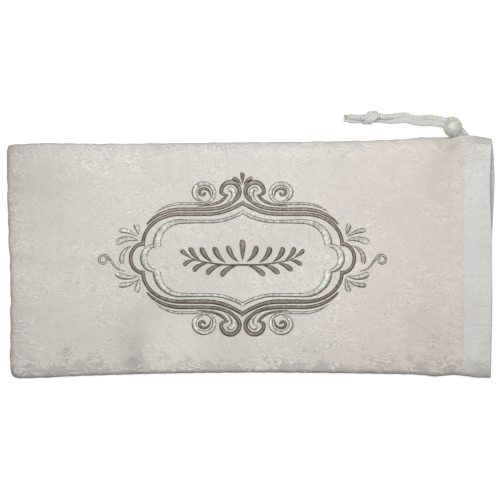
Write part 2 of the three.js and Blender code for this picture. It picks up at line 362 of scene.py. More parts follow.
class Bench:
    """The node tree of one finish, built round a Principled shader."""

    def __init__(self, name: str) -> None:
        """Start a material with a shader and nothing on it.

        Args:
            name: The material's name.
        """
        self.material = bpy.data.materials.new(name)
        self.material.use_nodes = True
        self.tree = self.material.node_tree
        self.tree.nodes.clear()
        self.shader = self.node("ShaderNodeBsdfPrincipled")
        self.node("ShaderNodeOutputMaterial", {}, {"Surface": self.shader.outputs["BSDF"]})

    def node(
        self, kind: str, settings: dict | None = None, sockets: dict | None = None
    ) -> bpy.types.Node:
        """Add a node.

        Args:
            kind: The node's type.
            settings: The node's own settings, set first.
            sockets: A value or a link for each input, by name or number.

        Returns:
            The node.
        """
        node = self.tree.nodes.new(kind)
        for name, setting in (settings or {}).items():
            setattr(node, name, setting)
        for name, given in (sockets or {}).items():
            self.feed(node.inputs[name], given)
        return node

    def feed(self, socket: Socket, given: object) -> None:
        """Link a socket to what is given, or set it where that is a plain number or colour.

        Args:
            socket: The input.
            given: A value, an output socket, a number or a colour.
        """
        if isinstance(given, Value):
            self.tree.links.new(given.socket, socket)
        elif isinstance(given, Socket):
            self.tree.links.new(given, socket)
        else:
            socket.default_value = given

    def dress(self, **sockets: object) -> None:
        """Feed the shader's sockets, named with underscores for spaces."""
        for name, given in sockets.items():
            self.feed(self.shader.inputs[name.replace("_", " ")], given)

    def value(self, socket: Socket) -> Value:
        """Wrap an output for arithmetic."""
        return Value(self, socket)

    def axes(self, vector: Socket) -> tuple[Value, Value, Value]:
        """Split a vector into its three numbers."""
        node = self.node("ShaderNodeSeparateXYZ", {}, {"Vector": vector})
        return tuple(self.value(node.outputs[axis]) for axis in "XYZ")

    def metres(self) -> Socket:
        """The point in the case's own frame, in metres."""
        return self.node("ShaderNodeTexCoord").outputs["Object"]

    def places(self) -> Socket:
        """The piece's own surface places."""
        return self.node("ShaderNodeTexCoord").outputs["UV"]

    def tone(self) -> Value:
        """The tone that each point of the piece carries: painted light and shade."""
        return self.value(self.node("ShaderNodeAttribute", {"attribute_name": TONE}).outputs["Fac"])

    def stretched(self, vector: Socket, scale: Point) -> Socket:
        """Scale a vector by its axes."""
        return self.node("ShaderNodeMapping", {}, {"Vector": vector, "Scale": scale}).outputs["Vector"]

    def noise(self, vector: Socket, scale: float, detail: float = 2.0) -> bpy.types.Node:
        """Soft noise with that many lumps to a unit."""
        sockets = {"Vector": vector, "Scale": scale, "Detail": detail}
        return self.node("ShaderNodeTexNoise", {}, sockets)

    def speckle(self, vector: Socket, scale: float, detail: float = 2.0) -> Value:
        """Soft noise as one number about a half."""
        return self.value(self.noise(vector, scale, detail).outputs["Fac"])

    def lumps(self, vector: Socket, scale: float, detail: float = 2.0) -> Value:
        """Soft noise as one number about 0."""
        return self.speckle(vector, scale, detail) - 0.5

    def vector_math(self, operation: str, sockets: dict) -> Socket:
        """Work on vectors or colours."""
        return self.node("ShaderNodeVectorMath", {"operation": operation}, sockets).outputs[0]

    def warped(self, vector: Socket, scale: float, reach: float) -> Socket:
        """Push a vector about by soft noise.

        Args:
            vector: The vector.
            scale: Lumps of the noise to a unit.
            reach: How far it pushes.

        Returns:
            The pushed vector.
        """
        drift = self.noise(vector, scale).outputs["Color"]
        centred = self.vector_math("SUBTRACT", {0: drift, 1: (0.5, 0.5, 0.5)})
        push = self.vector_math("SCALE", {0: centred, "Scale": reach})
        return self.vector_math("ADD", {0: vector, 1: push})

    def blend(self, share: Value, first: object, second: object) -> Socket:
        """Mix two colours by a share."""
        sockets = {0: share, 6: first, 7: second}
        return self.node("ShaderNodeMix", {"data_type": "RGBA"}, sockets).outputs[2]

    def scaled(self, colour: Socket, share: Value) -> Socket:
        """Make a colour lighter or darker by a share."""
        return self.vector_math("SCALE", {0: colour, "Scale": share})

    def relief(self, height: Value, depth: float) -> Socket:
        """Turn a height from 0 to 1 into a bump of that depth in metres."""
        sockets = {"Strength": 1.0, "Distance": depth, "Height": height}
        return self.node("ShaderNodeBump", {}, sockets).outputs["Normal"]


class Finish(ABC):
    """The look of a surface."""

    def build(self, name: str) -> Material:
        """Make the finish's material.

        Args:
            name: The material's name.

        Returns:
            The material.
        """
        bench = Bench(name)
        self.paint(bench)
        return bench.material

    @abstractmethod
    def paint(self, bench: Bench) -> None:
        """Work out what the shader's sockets are fed."""


@dataclass(frozen=True)
class Squiggle:
    """Curling lines of a woven figure, and the gaps in them."""

    pitch: float
    lean: float
    wide_swing: float
    wide_scale: float
    narrow_swing: float
    narrow_scale: float
    gap_scale: float
    gap_range: Pair

    def draw(self, bench: Bench, point: Socket) -> tuple[Value, Value]:
        """Make the lines.

        They are a sine across the case, or leaning, whose phase wanders with a wide and a narrow noise, so
        that its lines curl. A third noise breaks them up.

        Args:
            bench: The finish that they belong to.
            point: The place on the cloth.

        Returns:
            The sine, and the share of it that the gaps leave.
        """
        x, y, _ = bench.axes(point)
        height = y + self.lean * x if self.lean else y
        wide = self.wide_swing * bench.speckle(point, self.wide_scale, 1.0)
        wander = wide + self.narrow_swing * bench.speckle(point, self.narrow_scale, 1.0)
        line = ((height * (1 / self.pitch) + wander) * TURN).wave()
        return line, bench.speckle(point, self.gap_scale, 1.0).eased(*self.gap_range)


@dataclass(frozen=True)
class FiguredCloth(Finish):
    """Ivory cloth with a tone-on-tone figure of dashes and fronds, and a plain heading by the mouth."""

    upper_is_right_side: bool
    warm: Colour = (0.658, 0.602, 0.544, 1.0)
    pale: Colour = (0.655, 0.627, 0.585, 1.0)
    heading: Colour = (0.640, 0.630, 0.611, 1.0)
    # The wrong side's own duller colour, darkened further with painted shade for the back's inside under the
    # front lip.
    wrong_side_and_shade: Colour = (0.58, 0.575, 0.55, 1.0)
    face_range: Pair = (0.499, 0.501)

    # The heading and the warmth towards it: where they start, and how unevenly.
    heading_start: float = 0.1742
    heading_fade: float = 0.0062
    heading_unevenness: float = 0.018
    warm_range: Pair = (0.030, 0.115)
    warm_unevenness: Pair = (0.05, 0.11)
    warm_clouds: float = 0.8

    # The woven figure.
    strokes: Squiggle = Squiggle(
        pitch=0.0031,
        lean=0.0,
        wide_swing=5.0,
        wide_scale=62.0,
        narrow_swing=3.2,
        narrow_scale=190.0,
        gap_scale=260.0,
        gap_range=(0.40, 0.62),
    )
    fronds: Squiggle = Squiggle(
        pitch=0.0050,
        lean=0.25,
        wide_swing=5.0,
        wide_scale=52.0,
        narrow_swing=2.6,
        narrow_scale=165.0,
        gap_scale=110.0,
        gap_range=(0.38, 0.56),
    )
    frond_range: Pair = (-0.2, 0.8)
    grain_scale: float = 850.0
    patch_scale: float = 34.0
    patch_range: Pair = (0.40, 0.66)
    least_strength: float = 0.66
    patch_strength: float = 0.78
    heading_loss: float = 0.15
    frond_heading_loss: float = 0.3

    # Bands of fronds by the edges, which also carry painted shade and painted light.
    frond_edge: float = -0.080
    frond_fade: float = 0.011
    frond_drop: float = 0.005
    drop_range: Pair = (0.055, 0.135)
    top_slope: float = 0.0216
    top_edge: float = 0.0815
    left_edge: float = 0.186
    edge_unevenness: float = 0.06
    rim_range: Pair = (0.45, 1.0)
    high_fronds: float = 0.6
    stray_fronds: float = 0.45
    stray_scale: float = 21.0
    stray_range: Pair = (0.50, 0.66)

    # How much each part of the figure counts; the bands' shares are painted shade by the bottom edge,
    # painted light by the top edge and the closed end, and painted shade at their outer rim.
    stroke_gain: float = 0.42
    grain_gain: float = 1.5
    frond_gain: float = 1.25
    low_shade: float = 0.76
    high_light: float = 0.15
    rim_shade: float = 0.45
    low_coolness: float = 0.15
    rim_coolness: float = 0.4

    # Lightness: the figure, and lumps of unlike sizes.
    tint_scale: float = 75.0
    mottle_scale: float = 16.0
    cloud_scale: float = 36.0
    blotch_scale: float = 150.0
    figure_gain: float = 0.19
    mottle_gain: float = 0.16
    cloud_gain: float = 0.10
    blotch_gain: float = 0.10
    roughness: float = 0.64
    figure_gloss: float = 0.15
    relief_depth: float = 0.00010
    sheen: float = 0.12
    sheen_roughness: float = 0.5

    def paint(self, bench: Bench) -> None:
        """Make the cloth.

        Strokes and a fine grain lie all over, stronger in patches. Fronds are larger and lie mostly by the
        bottom edge, and more faintly by the top and the closed end, where the ground is also cooler. The
        band by the bottom edge is darkened with painted shade, and the band by the top and the closed end is
        lightened with painted light and darkened at its outer rim with painted shade. The tone adds painted
        light and shade.

        Args:
            bench: The material's nodes.
        """
        point = bench.metres()
        x, y, _ = bench.axes(point)
        tint = bench.lumps(point, self.tint_scale)
        border = x + self.heading_unevenness * tint
        start, fade = self.heading_start, self.heading_fade
        heading = border.eased(start - fade, start + fade)
        low, high = self.bands(x, y, self.edge_unevenness * tint)
        rim = high.eased(*self.rim_range)
        stray = bench.speckle(point, self.stray_scale).eased(*self.stray_range)
        place = low + self.high_fronds * high + self.stray_fronds * stray
        curve, kept = self.fronds.draw(bench, point)
        frond = curve.eased(*self.frond_range) * kept * place * (1.0 - self.frond_heading_loss * heading)
        line, kept = self.strokes.draw(bench, point)
        grain = bench.lumps(point, self.grain_scale, 1.0)
        patch = bench.speckle(point, self.patch_scale).eased(*self.patch_range)
        strength = self.least_strength + self.patch_strength * patch
        strength = strength * (1.0 - self.heading_loss * heading)
        figure = (self.stroke_gain * (line * kept) + self.grain_gain * grain) * strength
        figure = figure + self.frond_gain * frond
        # Painted shade by the bottom edge and at the outer rim, painted light by the top edge and closed
        # end.
        figure = figure - self.low_shade * low + self.high_light * high - self.rim_shade * rim
        mottle = bench.lumps(point, self.mottle_scale, 3.0)
        cloud = bench.lumps(point, self.cloud_scale)
        blotch = bench.lumps(point, self.blotch_scale)
        mottled, tinted = self.warm_unevenness
        warmth = (x + mottled * mottle + tinted * tint).eased(*self.warm_range) + self.warm_clouds * cloud
        ground = bench.blend(warmth, self.pale, self.warm)
        cool = (self.low_coolness * low).larger(self.rim_coolness * rim)
        ground = bench.blend(cool, ground, self.heading)
        ground = bench.blend(heading, ground, self.heading)
        # The inner faces take the wrong side's colour with painted shade.
        lower = bench.axes(bench.places())[0].eased(*self.face_range)
        ground = bench.blend(lower if self.upper_is_right_side else 1.0 - lower, ground, self.wrong_side_and_shade)
        light = bench.tone() + self.figure_gain * figure + self.mottle_gain * mottle
        light = light + self.cloud_gain * cloud + self.blotch_gain * blotch
        bench.dress(
            Base_Color=bench.scaled(ground, light),
            Roughness=self.roughness - self.figure_gloss * figure,
            Normal=bench.relief(figure + 0.5, self.relief_depth),
            Sheen_Weight=self.sheen,
            Sheen_Roughness=self.sheen_roughness,
        )

    def bands(self, x: Value, y: Value, uneven: Value) -> tuple[Value, Value]:
        """Find the bands by the edges: smooth steps of how far a point lies past a line by each edge.

        Args:
            x: Place along the case.
            y: Place across it.
            uneven: How far the bands' inner edges stray.

        Returns:
            The band by the bottom edge, and the one by the top edge and the closed end, each from 0 to 1.
        """
        drop = self.frond_drop * x.eased(*self.drop_range)
        low = (y + drop + uneven).eased(self.frond_edge, self.frond_edge - self.frond_fade)
        top = (y - self.top_slope * x + uneven).eased(self.top_edge, self.top_edge + self.frond_fade)
        end = (uneven - x).eased(self.left_edge, self.left_edge + self.frond_fade)
        return low, top.larger(end)


@dataclass(frozen=True)
class SatinThread(Finish):
    """Shiny embroidery thread laid side by side, with painted shade along both edges and painted highlight
    and shade in streaks.
    """

    body: Colour
    # The edge colour is painted shade along both edges, the glint painted highlight, the shade painted
    # shade.
    edge: Colour
    glint: Colour
    shade: Colour
    gloss: float
    rim: float
    mottle: float
    sweep: float
    fleck_scale: float = 430.0
    sweep_scale: float = 105.0
    streak_scale: float = 1.9
    streak_stretch: Point = (1.0, 0.22, 1.0)
    streak_roughness: float = 0.14
    # How ragged the rim of painted shade is.
    rim_streaks: float = 1.1
    rim_flecks: float = 0.7
    rim_core: float = 0.4
    # Where the streaks take painted highlight and painted shade, and how much.
    bright_range: Pair = (0.50, 0.68)
    bright_share: float = 0.8
    shade_range: Pair = (0.48, 0.30)
    shade_share: float = 0.7
    twist: Pair = (4.0, 5.0)
    relief_depth: float = 0.00006
    sheen: float = 0.1

    def paint(self, bench: Bench) -> None:
        """Make the thread.

        It is darkened with painted shade within a rim of both edges, streaked from thread to thread along
        the band with painted highlight and painted shade, and flecked, and its light comes and goes in slow
        sweeps.

        Args:
            bench: The material's nodes.
        """
        place = bench.places()
        along, inward, _ = bench.axes(place)
        fleck = bench.lumps(bench.metres(), self.fleck_scale, 1.0)
        streak = bench.speckle(bench.stretched(place, self.streak_stretch), self.streak_scale, 3.0)
        # A ragged rim of painted shade along both edges.
        inside = inward + self.rim_streaks * (streak - 0.5) + self.rim_flecks * fleck
        rim = inside.eased(self.rim, self.rim_core * self.rim)
        # Streaks of painted highlight and painted shade.
        body = bench.blend(streak.eased(*self.bright_range) * self.bright_share, self.body, self.glint)
        body = bench.blend(streak.eased(*self.shade_range) * self.shade_share, body, self.shade)
        sweep = self.sweep * bench.lumps(bench.metres(), self.sweep_scale)
        # The tone is painted shade by the band's place, way and side.
        body = bench.scaled(body, bench.tone() * (1.0 + self.mottle * fleck + sweep))
        twist = ((along * self.twist[0] + inward * self.twist[1]) * math.pi).swell()
        bench.dress(
            Base_Color=bench.blend(rim, body, self.edge),
            Roughness=self.gloss + self.streak_roughness * streak,
            Normal=bench.relief(twist, self.relief_depth),
            Sheen_Weight=self.sheen,
        )


@dataclass(frozen=True)
class BraidedCord(Finish):
    """White braided cord, with painted shade between its ribs."""

    yarn: Colour = (0.75, 0.74, 0.715, 1.0)
    # The colour of the painted shade between the ribs.
    hollow_shade: Colour = (0.53, 0.522, 0.503, 1.0)
    rib_range: Pair = (0.0, 0.6)
    rib_share: float = 0.85
    fuzz_share: float = 0.5
    fuzz_scale: float = 1100.0
    rib_relief: float = 0.6
    fuzz_relief: float = 0.4
    relief_depth: float = 0.0002
    roughness: float = 0.62
    sheen: float = 0.2

    def paint(self, bench: Bench) -> None:
        """Make the cord: its ribs follow the places along and around it, as the mesh's ribs do.

        Args:
            bench: The material's nodes.
        """
        along, around, _ = bench.axes(bench.places())
        sideways = abs((around * TURN + math.pi / 2).wave())
        turn = (along * (1 / RIB_PITCH) + sideways * RIB_SWEEP) * TURN
        rib = turn.swell().eased(*self.rib_range)
        fuzz = bench.speckle(bench.metres(), self.fuzz_scale)
        # Painted shade between the ribs.
        raised = rib * (self.rib_share + self.fuzz_share * (fuzz - 0.5))
        bench.dress(
            Base_Color=bench.blend(raised, self.hollow_shade, self.yarn),
            Roughness=self.roughness,
            Normal=bench.relief(rib * self.rib_relief + fuzz * self.fuzz_relief, self.relief_depth),
            Sheen_Weight=self.sheen,
        )


@dataclass(frozen=True)
class PearlBead(Finish):
    """Moulded pearly bead."""

    body: Colour = (0.54, 0.55, 0.495, 1.0)
    cloud: Colour = (0.60, 0.60, 0.545, 1.0)
    # The pale colour of the layers, partly a painted highlight.
    gleam: Colour = (0.70, 0.70, 0.645, 1.0)
    cloud_scale: float = 160.0
    cloud_range: Pair = (0.35, 0.7)
    warp_scale: float = 120.0
    warp_reach: float = 0.006
    layer_pitch: float = 0.0046
    layer_way: Pair = (0.5, 0.87)
    layer_swing: float = 1.8
    layer_scale: float = 95.0
    layer_range: Pair = (0.1, 1.0)
    layer_share: float = 0.62
    roughness: float = 0.26
    cloud_roughness: float = 0.10
    coat: float = 0.5
    coat_roughness: float = 0.12
    relief_scale: float = 420.0
    relief_depth: float = 0.00003

    def paint(self, bench: Bench) -> None:
        """Make the bead: faint clouds and bent pale layers, sines across the bead, under a clear gloss.

        The pale layers are partly the pearl's own and partly a painted highlight.

        Args:
            bench: The material's nodes.
        """
        point = bench.metres()
        x, y, _ = bench.axes(point)
        warped = bench.warped(point, self.warp_scale, self.warp_reach)
        cloud = bench.speckle(warped, self.cloud_scale).eased(*self.cloud_range)
        bend = self.layer_swing * bench.speckle(point, self.layer_scale, 1.0)
        across = self.layer_way[1] * y - self.layer_way[0] * x
        # Pale layers, partly the pearl's own and partly a painted highlight.
        layer = ((across * (1 / self.layer_pitch) + bend) * TURN).wave().eased(*self.layer_range)
        ground = bench.blend(cloud, self.body, self.cloud)
        bench.dress(
            Base_Color=bench.blend(self.layer_share * layer, ground, self.gleam),
            Roughness=self.roughness + self.cloud_roughness * cloud,
            Coat_Weight=self.coat,
            Coat_Roughness=self.coat_roughness,
            Normal=bench.relief(bench.speckle(point, self.relief_scale), self.relief_depth),
        )


@dataclass(frozen=True)
class PlainThread(Finish):
    """Matt sewing thread, twisted."""

    body: Colour = (0.665, 0.655, 0.630, 1.0)
    # The colour of the painted shade in the twist's grooves.
    shade: Colour = (0.57, 0.56, 0.54, 1.0)
    twist: Pair = (1.6, 2.0)
    relief_depth: float = 0.00008
    roughness: float = 0.6

    def paint(self, bench: Bench) -> None:
        """Make the thread: a slanted twist along its length, with painted shade in its grooves.

        Args:
            bench: The material's nodes.
        """
        along, around, _ = bench.axes(bench.places())
        twist = ((along * self.twist[0] + around * self.twist[1]) * TURN).swell()
        bench.dress(
            Base_Color=bench.blend(twist, self.shade, self.body),
            Roughness=self.roughness,
            Normal=bench.relief(twist, self.relief_depth),
        )


@dataclass(frozen=True)
class PaperFloor(Finish):
    """Plain white studio floor."""

    paper: Colour = (0.45, 0.45, 0.45, 1.0)
    roughness: float = 0.9
    glow: float = 0.78

    def paint(self, bench: Bench) -> None:
        """Make the floor.

        Args:
            bench: The material's nodes.
        """
        bench.dress(
            Base_Color=self.paper,
            Roughness=self.roughness,
            Emission_Color=WHITE,
            Emission_Strength=self.glow,
        )


class Slot(Enum):
    """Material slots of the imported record."""

    CLOTH = "jacquard_cloth"
    DARK = "dark_thread"
    SILVER = "silver_thread"
    CORD = "cord"
    BEAD = "pearl_bead"


def make_piece(name: str, shape: Shape, finish: Material) -> Piece:
    """Put a shape into a mesh object that rides on the case.

    Args:
        name: The piece's name.
        shape: Its points and faces, in millimetres.
        finish: Its material.

    Returns:
        The piece, at the origin with its place in its mesh.
    """
    faces = shape.quads.tolist() + shape.triangles.tolist()
    mesh = bpy.data.meshes.new(name)
    mesh.from_pydata((shape.points * METRES).tolist(), [], faces)
    mesh.polygons.foreach_set("use_smooth", np.ones(len(faces), bool))
    layer = mesh.uv_layers.new(name="surface")
    places = np.concatenate([shape.quad_places.ravel(), shape.triangle_places.ravel()])
    layer.data.foreach_set("uv", places.astype(np.float32))
    tone = mesh.attributes.new(TONE, "FLOAT", "POINT")
    tone.data.foreach_set("value", shape.tone.astype(np.float32))
    mesh.materials.append(finish)
    piece = bpy.data.objects.new(name, mesh)
    bpy.context.scene.collection.objects.link(piece)
    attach(piece, "root")
    triangles = 2 * len(shape.quads) + len(shape.triangles)
    LOG.info("%s: %d triangles", name, triangles)
    return piece


class Side(Enum):
    """The two panels of the case."""

    FRONT = "front"
    BACK = "back"


@dataclass(frozen=True)
class Spot:
    """Where points of a panel lie, and how far they are from its seams."""

    along: Array
    across: Array
    x: Array
    y: Array
    from_top: Array
    from_seam: Array


@dataclass(frozen=True)
class CaseCloth:
    """The two panels: outline, fullness, folds and casing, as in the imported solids, with finer creases."""

    # The panels, their seams and corners.
    half_length: float = 200.0
    half_width: float = 97.0
    thickness: float = 1.6
    gap: float = 0.4
    seam_height: float = 2.2
    corner_radius: float = 7.0
    top_corner: float = 0.30
    bottom_corner: float = 0.75
    edge_roll: float = 2.4
    back_roll: float = 4.0

    # Fullness, the mouth, the casing and the cords' slit.
    edge_rise: float = 4.6
    crown_rise: float = 3.4
    crown_power: int = 3
    crown_end_power: int = 6
    mouth_fall: float = 0.9
    mouth_range: Pair = (0.84, 1.0)
    casing_inner: float = 164.5
    casing_outer: float = 175.5
    casing_swell: float = 0.5
    stitch_depth: float = 0.20
    stitch_width: float = 2.6
    exit_x: float = 176.2
    exit_lift: float = 0.5
    exit_half_width: float = 5.2
    exit_fade: float = 9.0
    exit_reach: float = 14.0

    # Waves of the outline: their height, and the share of it and the pitch at each edge.
    edge_wave: float = 0.22
    top_wave: float = 0.5
    bottom_wave: float = 0.4
    end_wave_pitch: float = 19.0
    top_wave_pitch: float = 17.0
    bottom_wave_pitch: float = 12.0

    # Painted shade by the seams and painted light at their very edge, and steps of the work.
    seam_painted_shade: float = 0.07
    hem_width: float = 8.0
    seam_painted_light: float = 0.28
    top_seam_painted_light: float = 0.18
    seam_light_width: float = 2.2
    rim_steps: int = 4
    normal_inset: float = 0.08
    search_steps: int = 4

    # Rise, pitch and reach of the fine puckers, and where those of the casing and the lip stand.
    seam_pucker: Point = (0.10, 13.0, 7.0)
    end_pucker: Point = (0.16, 11.0, 16.0)
    casing_pucker: Point = (0.10, 7.5, 9.0)
    casing_pucker_line: float = 167.0
    casing_pucker_lean: float = 0.25
    lip_pucker: Pair = (0.09, 8.0)
    lip_range: Pair = (0.945, 0.985)

    # The sines of an uneven ripple: size, rate and start.
    ripple_sines: Table = ((1.0, 1.0, 0.0), (0.7, 0.61, 1.3), (0.5, 1.57, 0.4))

    # Each edge is a table of place along it and where it stands.
    top_edge: Table = (
        (-200, 91.9), (-190, 92.3), (-172, 93.2), (-120, 92.7), (-20, 93.7), (75, 94.8),
        (122, 96.2), (142, 97.8), (166, 98.2), (180, 100.1), (190, 98.5), (200, 97.2),
    )
    bottom_edge: Table = (
        (-200, -100), (-190, -100), (-170, -99.4), (-140, -98), (-60, -95.9), (20, -95.3),
        (108, -96.3), (142, -97.2), (156, -98.6), (169, -97.2), (190, -99.4), (200, -99.8),
    )
    closed_end: Table = (
        (-97, -197.7), (-88, -198.1), (-50, -197.9), (-12, -198), (20, -199.4), (60, -200.5),
        (88, -200.8), (97, -200.6),
    )
    front_lip: Table = ((-97, 197.6), (-36, 198.5), (13, 198.5), (62, 197), (97, 199))
    back_lip: Table = ((-97, 198.4), (-36, 199.7), (13, 199.4), (62, 201.6), (84, 200.8), (97, 199.3))

    # Columns of a fold: x, y, turn in degrees, length, width, rise.
    main_folds: Table = (
        (-180, 50, 3, 36, 9, -1.1), (-176, 30, 5, 40, 8, 0.9), (-182, -9, -4, 30, 8, -0.9),
        (-184, -52, 8, 24, 12, -0.6), (-106, -76, 76, 26, 11, -2.2), (-84, -78, 72, 24, 9, 1.7),
        (139, -72, 80, 30, 10, -2.0), (157, -76, 84, 26, 8, 1.2), (168, 86, 62, 10, 4.5, -0.8),
        (113, 90, 88, 8, 3, -0.7), (100, 60, 14, 62, 22, 0.8), (-20, 82, 1, 90, 9, 0.5),
        (60, -82, -2, 46, 8, -0.5), (182, -91, 6, 14, 4, -0.9), (-70, -40, 60, 30, 14, 0.6),
        (164.5, 94.5, 60, 6, 1.6, 0.5), (169, 93.5, 75, 6, 1.6, 0.45),
    )

    # Columns of a soft place of painted light or painted shade on the front: x, y, turn in degrees, length,
    # width, gain.
    painted_light_spots: Table = (
        (-200, 60, 90, 60, 38, -0.10), (-199, 84, 90, 18, 16, -0.09), (-190, 18, 0, 22, 11, 0.06),
        (-196, -58, 90, 26, 12, -0.08), (-106, -70, 80, 22, 16, -0.07), (-60, -74, 70, 30, 22, 0.11),
        (156, 72, 90, 44, 15, -0.09), (180, 88, 0, 20, 14, -0.07), (166, 90, 20, 7, 5, -0.12),
        (152, -74, 90, 44, 18, -0.10), (179, -80, 90, 20, 11, 0.07), (182, -95, 0, 18, 5, -0.14),
        (-160, -97, 2, 46, 6, -0.09), (192, 95.6, -8, 7.5, 3, -0.08),
        (-96, -86, 84, 16, 5, -0.09), (-110, -93, 0, 8, 5, 0.07), (-201, 0, 90, 120, 2.4, 0.16),
        (60, 87, 1.2, 190, 4.5, 0.04), (90, -91, -0.8, 90, 4, -0.06), (184, -55, 90, 38, 18, -0.05),
    )

    def outline(self, x: Array, y: Array, lip: Table) -> Spot:
        """Stretch an even rectangle to the panel's uneven outline and round its two sewn corners.

        A point is carried between the closed end and the lip, and between the bottom and top edges. Near a
        sewn corner the square of distances to both edges is mapped part of the way to a disc.

        Args:
            x: Even places along the case.
            y: Even places across it.
            lip: The panel's edge at the mouth.

        Returns:
            The stretched places and their distances from the seams.
        """
        along = (x + self.half_length) / (2 * self.half_length)
        across = (y + self.half_width) / (2 * self.half_width)
        top_wave = self.top_wave * self.edge_wave * self.ripple(x, self.top_wave_pitch)
        bottom_wave = self.bottom_wave * self.edge_wave * self.ripple(x, self.bottom_wave_pitch)
        end = read_edge(self.closed_end, y) + self.edge_wave * self.ripple(y, self.end_wave_pitch)
        top = read_edge(self.top_edge, x) + top_wave
        bottom = read_edge(self.bottom_edge, x) + bottom_wave
        square_x = mix(end, read_edge(lip, y), along)
        square_y = mix(bottom, top, across)
        near_end = np.clip(1 - (square_x - end) / self.corner_radius, 0, 1)
        near_top = np.clip(1 - (top - square_y) / self.corner_radius, 0, 1)
        near_bottom = np.clip(1 - (square_y - bottom) / self.corner_radius, 0, 1)
        near_side = near_top + near_bottom
        round_end = near_end * np.sqrt(1 - near_side**2 / 2)
        round_side = near_side * np.sqrt(1 - near_end**2 / 2)
        rounding = self.corner_radius * np.where(near_top > 0, self.top_corner, self.bottom_corner)
        inward = rounding * (near_side - round_side) * np.sign(near_top - near_bottom)
        return Spot(
            along,
            across,
            square_x + rounding * (near_end - round_end),
            square_y - inward,
            top - square_y,
            self.corner_radius * (1 - np.hypot(round_end, round_side)),
        )

    @staticmethod
    def roll(distance: Array, width: float) -> Array:
        """Quarter-round rise of the cloth away from a seam, 0 to 1."""
        return np.sqrt(1 - (1 - np.clip(distance / width, 0, 1)) ** 2)

    @staticmethod
    def bells(rows: Table, x: Array, y: Array) -> Array:
        """Sum of soft places: each falls off as a bell along its length and across its width.

        Args:
            rows: Centre x and y, turn in degrees, length, width and rise of each.
            x: Places along the case.
            y: Places across it.

        Returns:
            The sum at each place.
        """
        total = np.zeros_like(x)
        for centre_x, centre_y, turn, length, width, rise in rows:
            cosine, sine = math.cos(math.radians(turn)), math.sin(math.radians(turn))
            lengthwise = (x - centre_x) * cosine + (y - centre_y) * sine
            sideways = (y - centre_y) * cosine - (x - centre_x) * sine
            total += rise * np.exp(-((lengthwise / length) ** 2) - (sideways / width) ** 2)
        return total

    def casing_rise(self, x: Array) -> Array:
        """Swell of the casing between its two sewn lines, a parabola, with a bell's groove at each line.

        Args:
            x: Places along the case.

        Returns:
            The rise at each place.
        """
        middle = (self.casing_inner + self.casing_outer) / 2
        half = (self.casing_outer - self.casing_inner) / 2
        swell = self.casing_swell * np.maximum(0, 1 - ((x - middle) / half) ** 2)
        lines = np.array([self.casing_inner, self.casing_outer])
        grooves = np.exp(-(((x[..., None] - lines) / self.stitch_width) ** 2)).sum(axis=-1)
        return swell - self.stitch_depth * grooves

    def ripple(self, place: Array, pitch: float) -> Array:
        """Uneven ripple of about that pitch: three sines of unlike lengths."""
        turn = TURN * place / pitch
        return sum(size * np.sin(rate * turn + start) for size, rate, start in self.ripple_sines)

    def gathers(self, spot: Spot) -> Array:
        """Fine puckers: ripples square to the seams, casing and lip, dying out away from them.

        Args:
            spot: Points of the front panel.

        Returns:
            The rise at each point.
        """
        rise, pitch, reach = self.seam_pucker
        sides = rise * self.ripple(spot.x, pitch) * np.exp(-spot.from_seam / reach)
        rise, pitch, reach = self.end_pucker
        near = np.exp(-(((spot.x + self.half_length) / reach) ** 2))
        ends = rise * self.ripple(spot.y, pitch) * near
        rise, pitch, reach = self.casing_pucker
        near = np.exp(-(((spot.x - self.casing_pucker_line) / reach) ** 2))
        casing = rise * self.ripple(spot.y + self.casing_pucker_lean * spot.x, pitch) * near
        rise, pitch = self.lip_pucker
        lips = rise * self.ripple(spot.y, pitch) * ease(*self.lip_range, spot.along)
        return sides + ends + casing + lips

    def height(self, side: Side, x: Array, y: Array) -> tuple[Spot, Array]:
        """Middle height of a panel.

        The front rises from the seam in a quarter round to its crown and carries the folds and the casing.
        At the cords' slit it keeps its height out to the edge. The back falls from the seam to the floor.

        Args:
            side: The panel.
            x: Even places along the case.
            y: Even places across it.

        Returns:
            The stretched places and the height there.
        """
        if side is Side.BACK:
            spot = self.outline(x, y, self.back_lip)
            seam = self.seam_height - self.gap / 2
            return spot, mix(seam, self.thickness / 2, self.roll(spot.from_seam, self.back_roll))
        spot = self.outline(x, y, self.front_lip)
        crown = 1 - np.abs(2 * spot.across - 1) ** self.crown_power
        crown = crown * (1 - (1 - spot.along) ** self.crown_end_power)
        fall = self.mouth_fall * ease(*self.mouth_range, spot.along)
        rise = self.edge_rise + self.crown_rise * crown - fall
        rise = rise + self.bells(self.main_folds, spot.x, spot.y)
        rise = rise + self.casing_rise(spot.x) + self.gathers(spot)
        off = np.abs(spot.x - self.exit_x) - self.exit_half_width
        slit = (1 - ease(0, self.exit_fade, off)) * (1 - ease(0, self.exit_reach, spot.from_top))
        seam = self.seam_height + self.gap / 2
        share = mix(self.roll(spot.from_seam, self.edge_roll), 1.0, slit)
        return spot, seam + share * rise + self.exit_lift * slit

    def tone(self, side: Side, spot: Spot) -> Array:
        """How light the cloth is.

        The front has soft places of painted light and painted shade. By the seams lies painted
        shade, and at their very edge painted light, which is less at the top edge.

        Args:
            side: The panel.
            spot: Its points.

        Returns:
            A tone for each point, about 1.
        """
        # Painted shade by the seams, less painted light at their very edge, and soft places of painted light
        # and shade.
        painted_seam_shade = self.seam_painted_shade * (1 - ease(0.0, self.hem_width, spot.from_seam))
        seam_light = mix(self.top_seam_painted_light, self.seam_painted_light, ease(0.0, self.hem_width, spot.from_top))
        painted_seam_shade = painted_seam_shade - seam_light * (1 - ease(0.0, self.seam_light_width, spot.from_seam))
        painted_light_spots = self.bells(self.painted_light_spots, spot.x, spot.y) if side is Side.FRONT else 0.0
        return 1.0 + painted_light_spots - painted_seam_shade

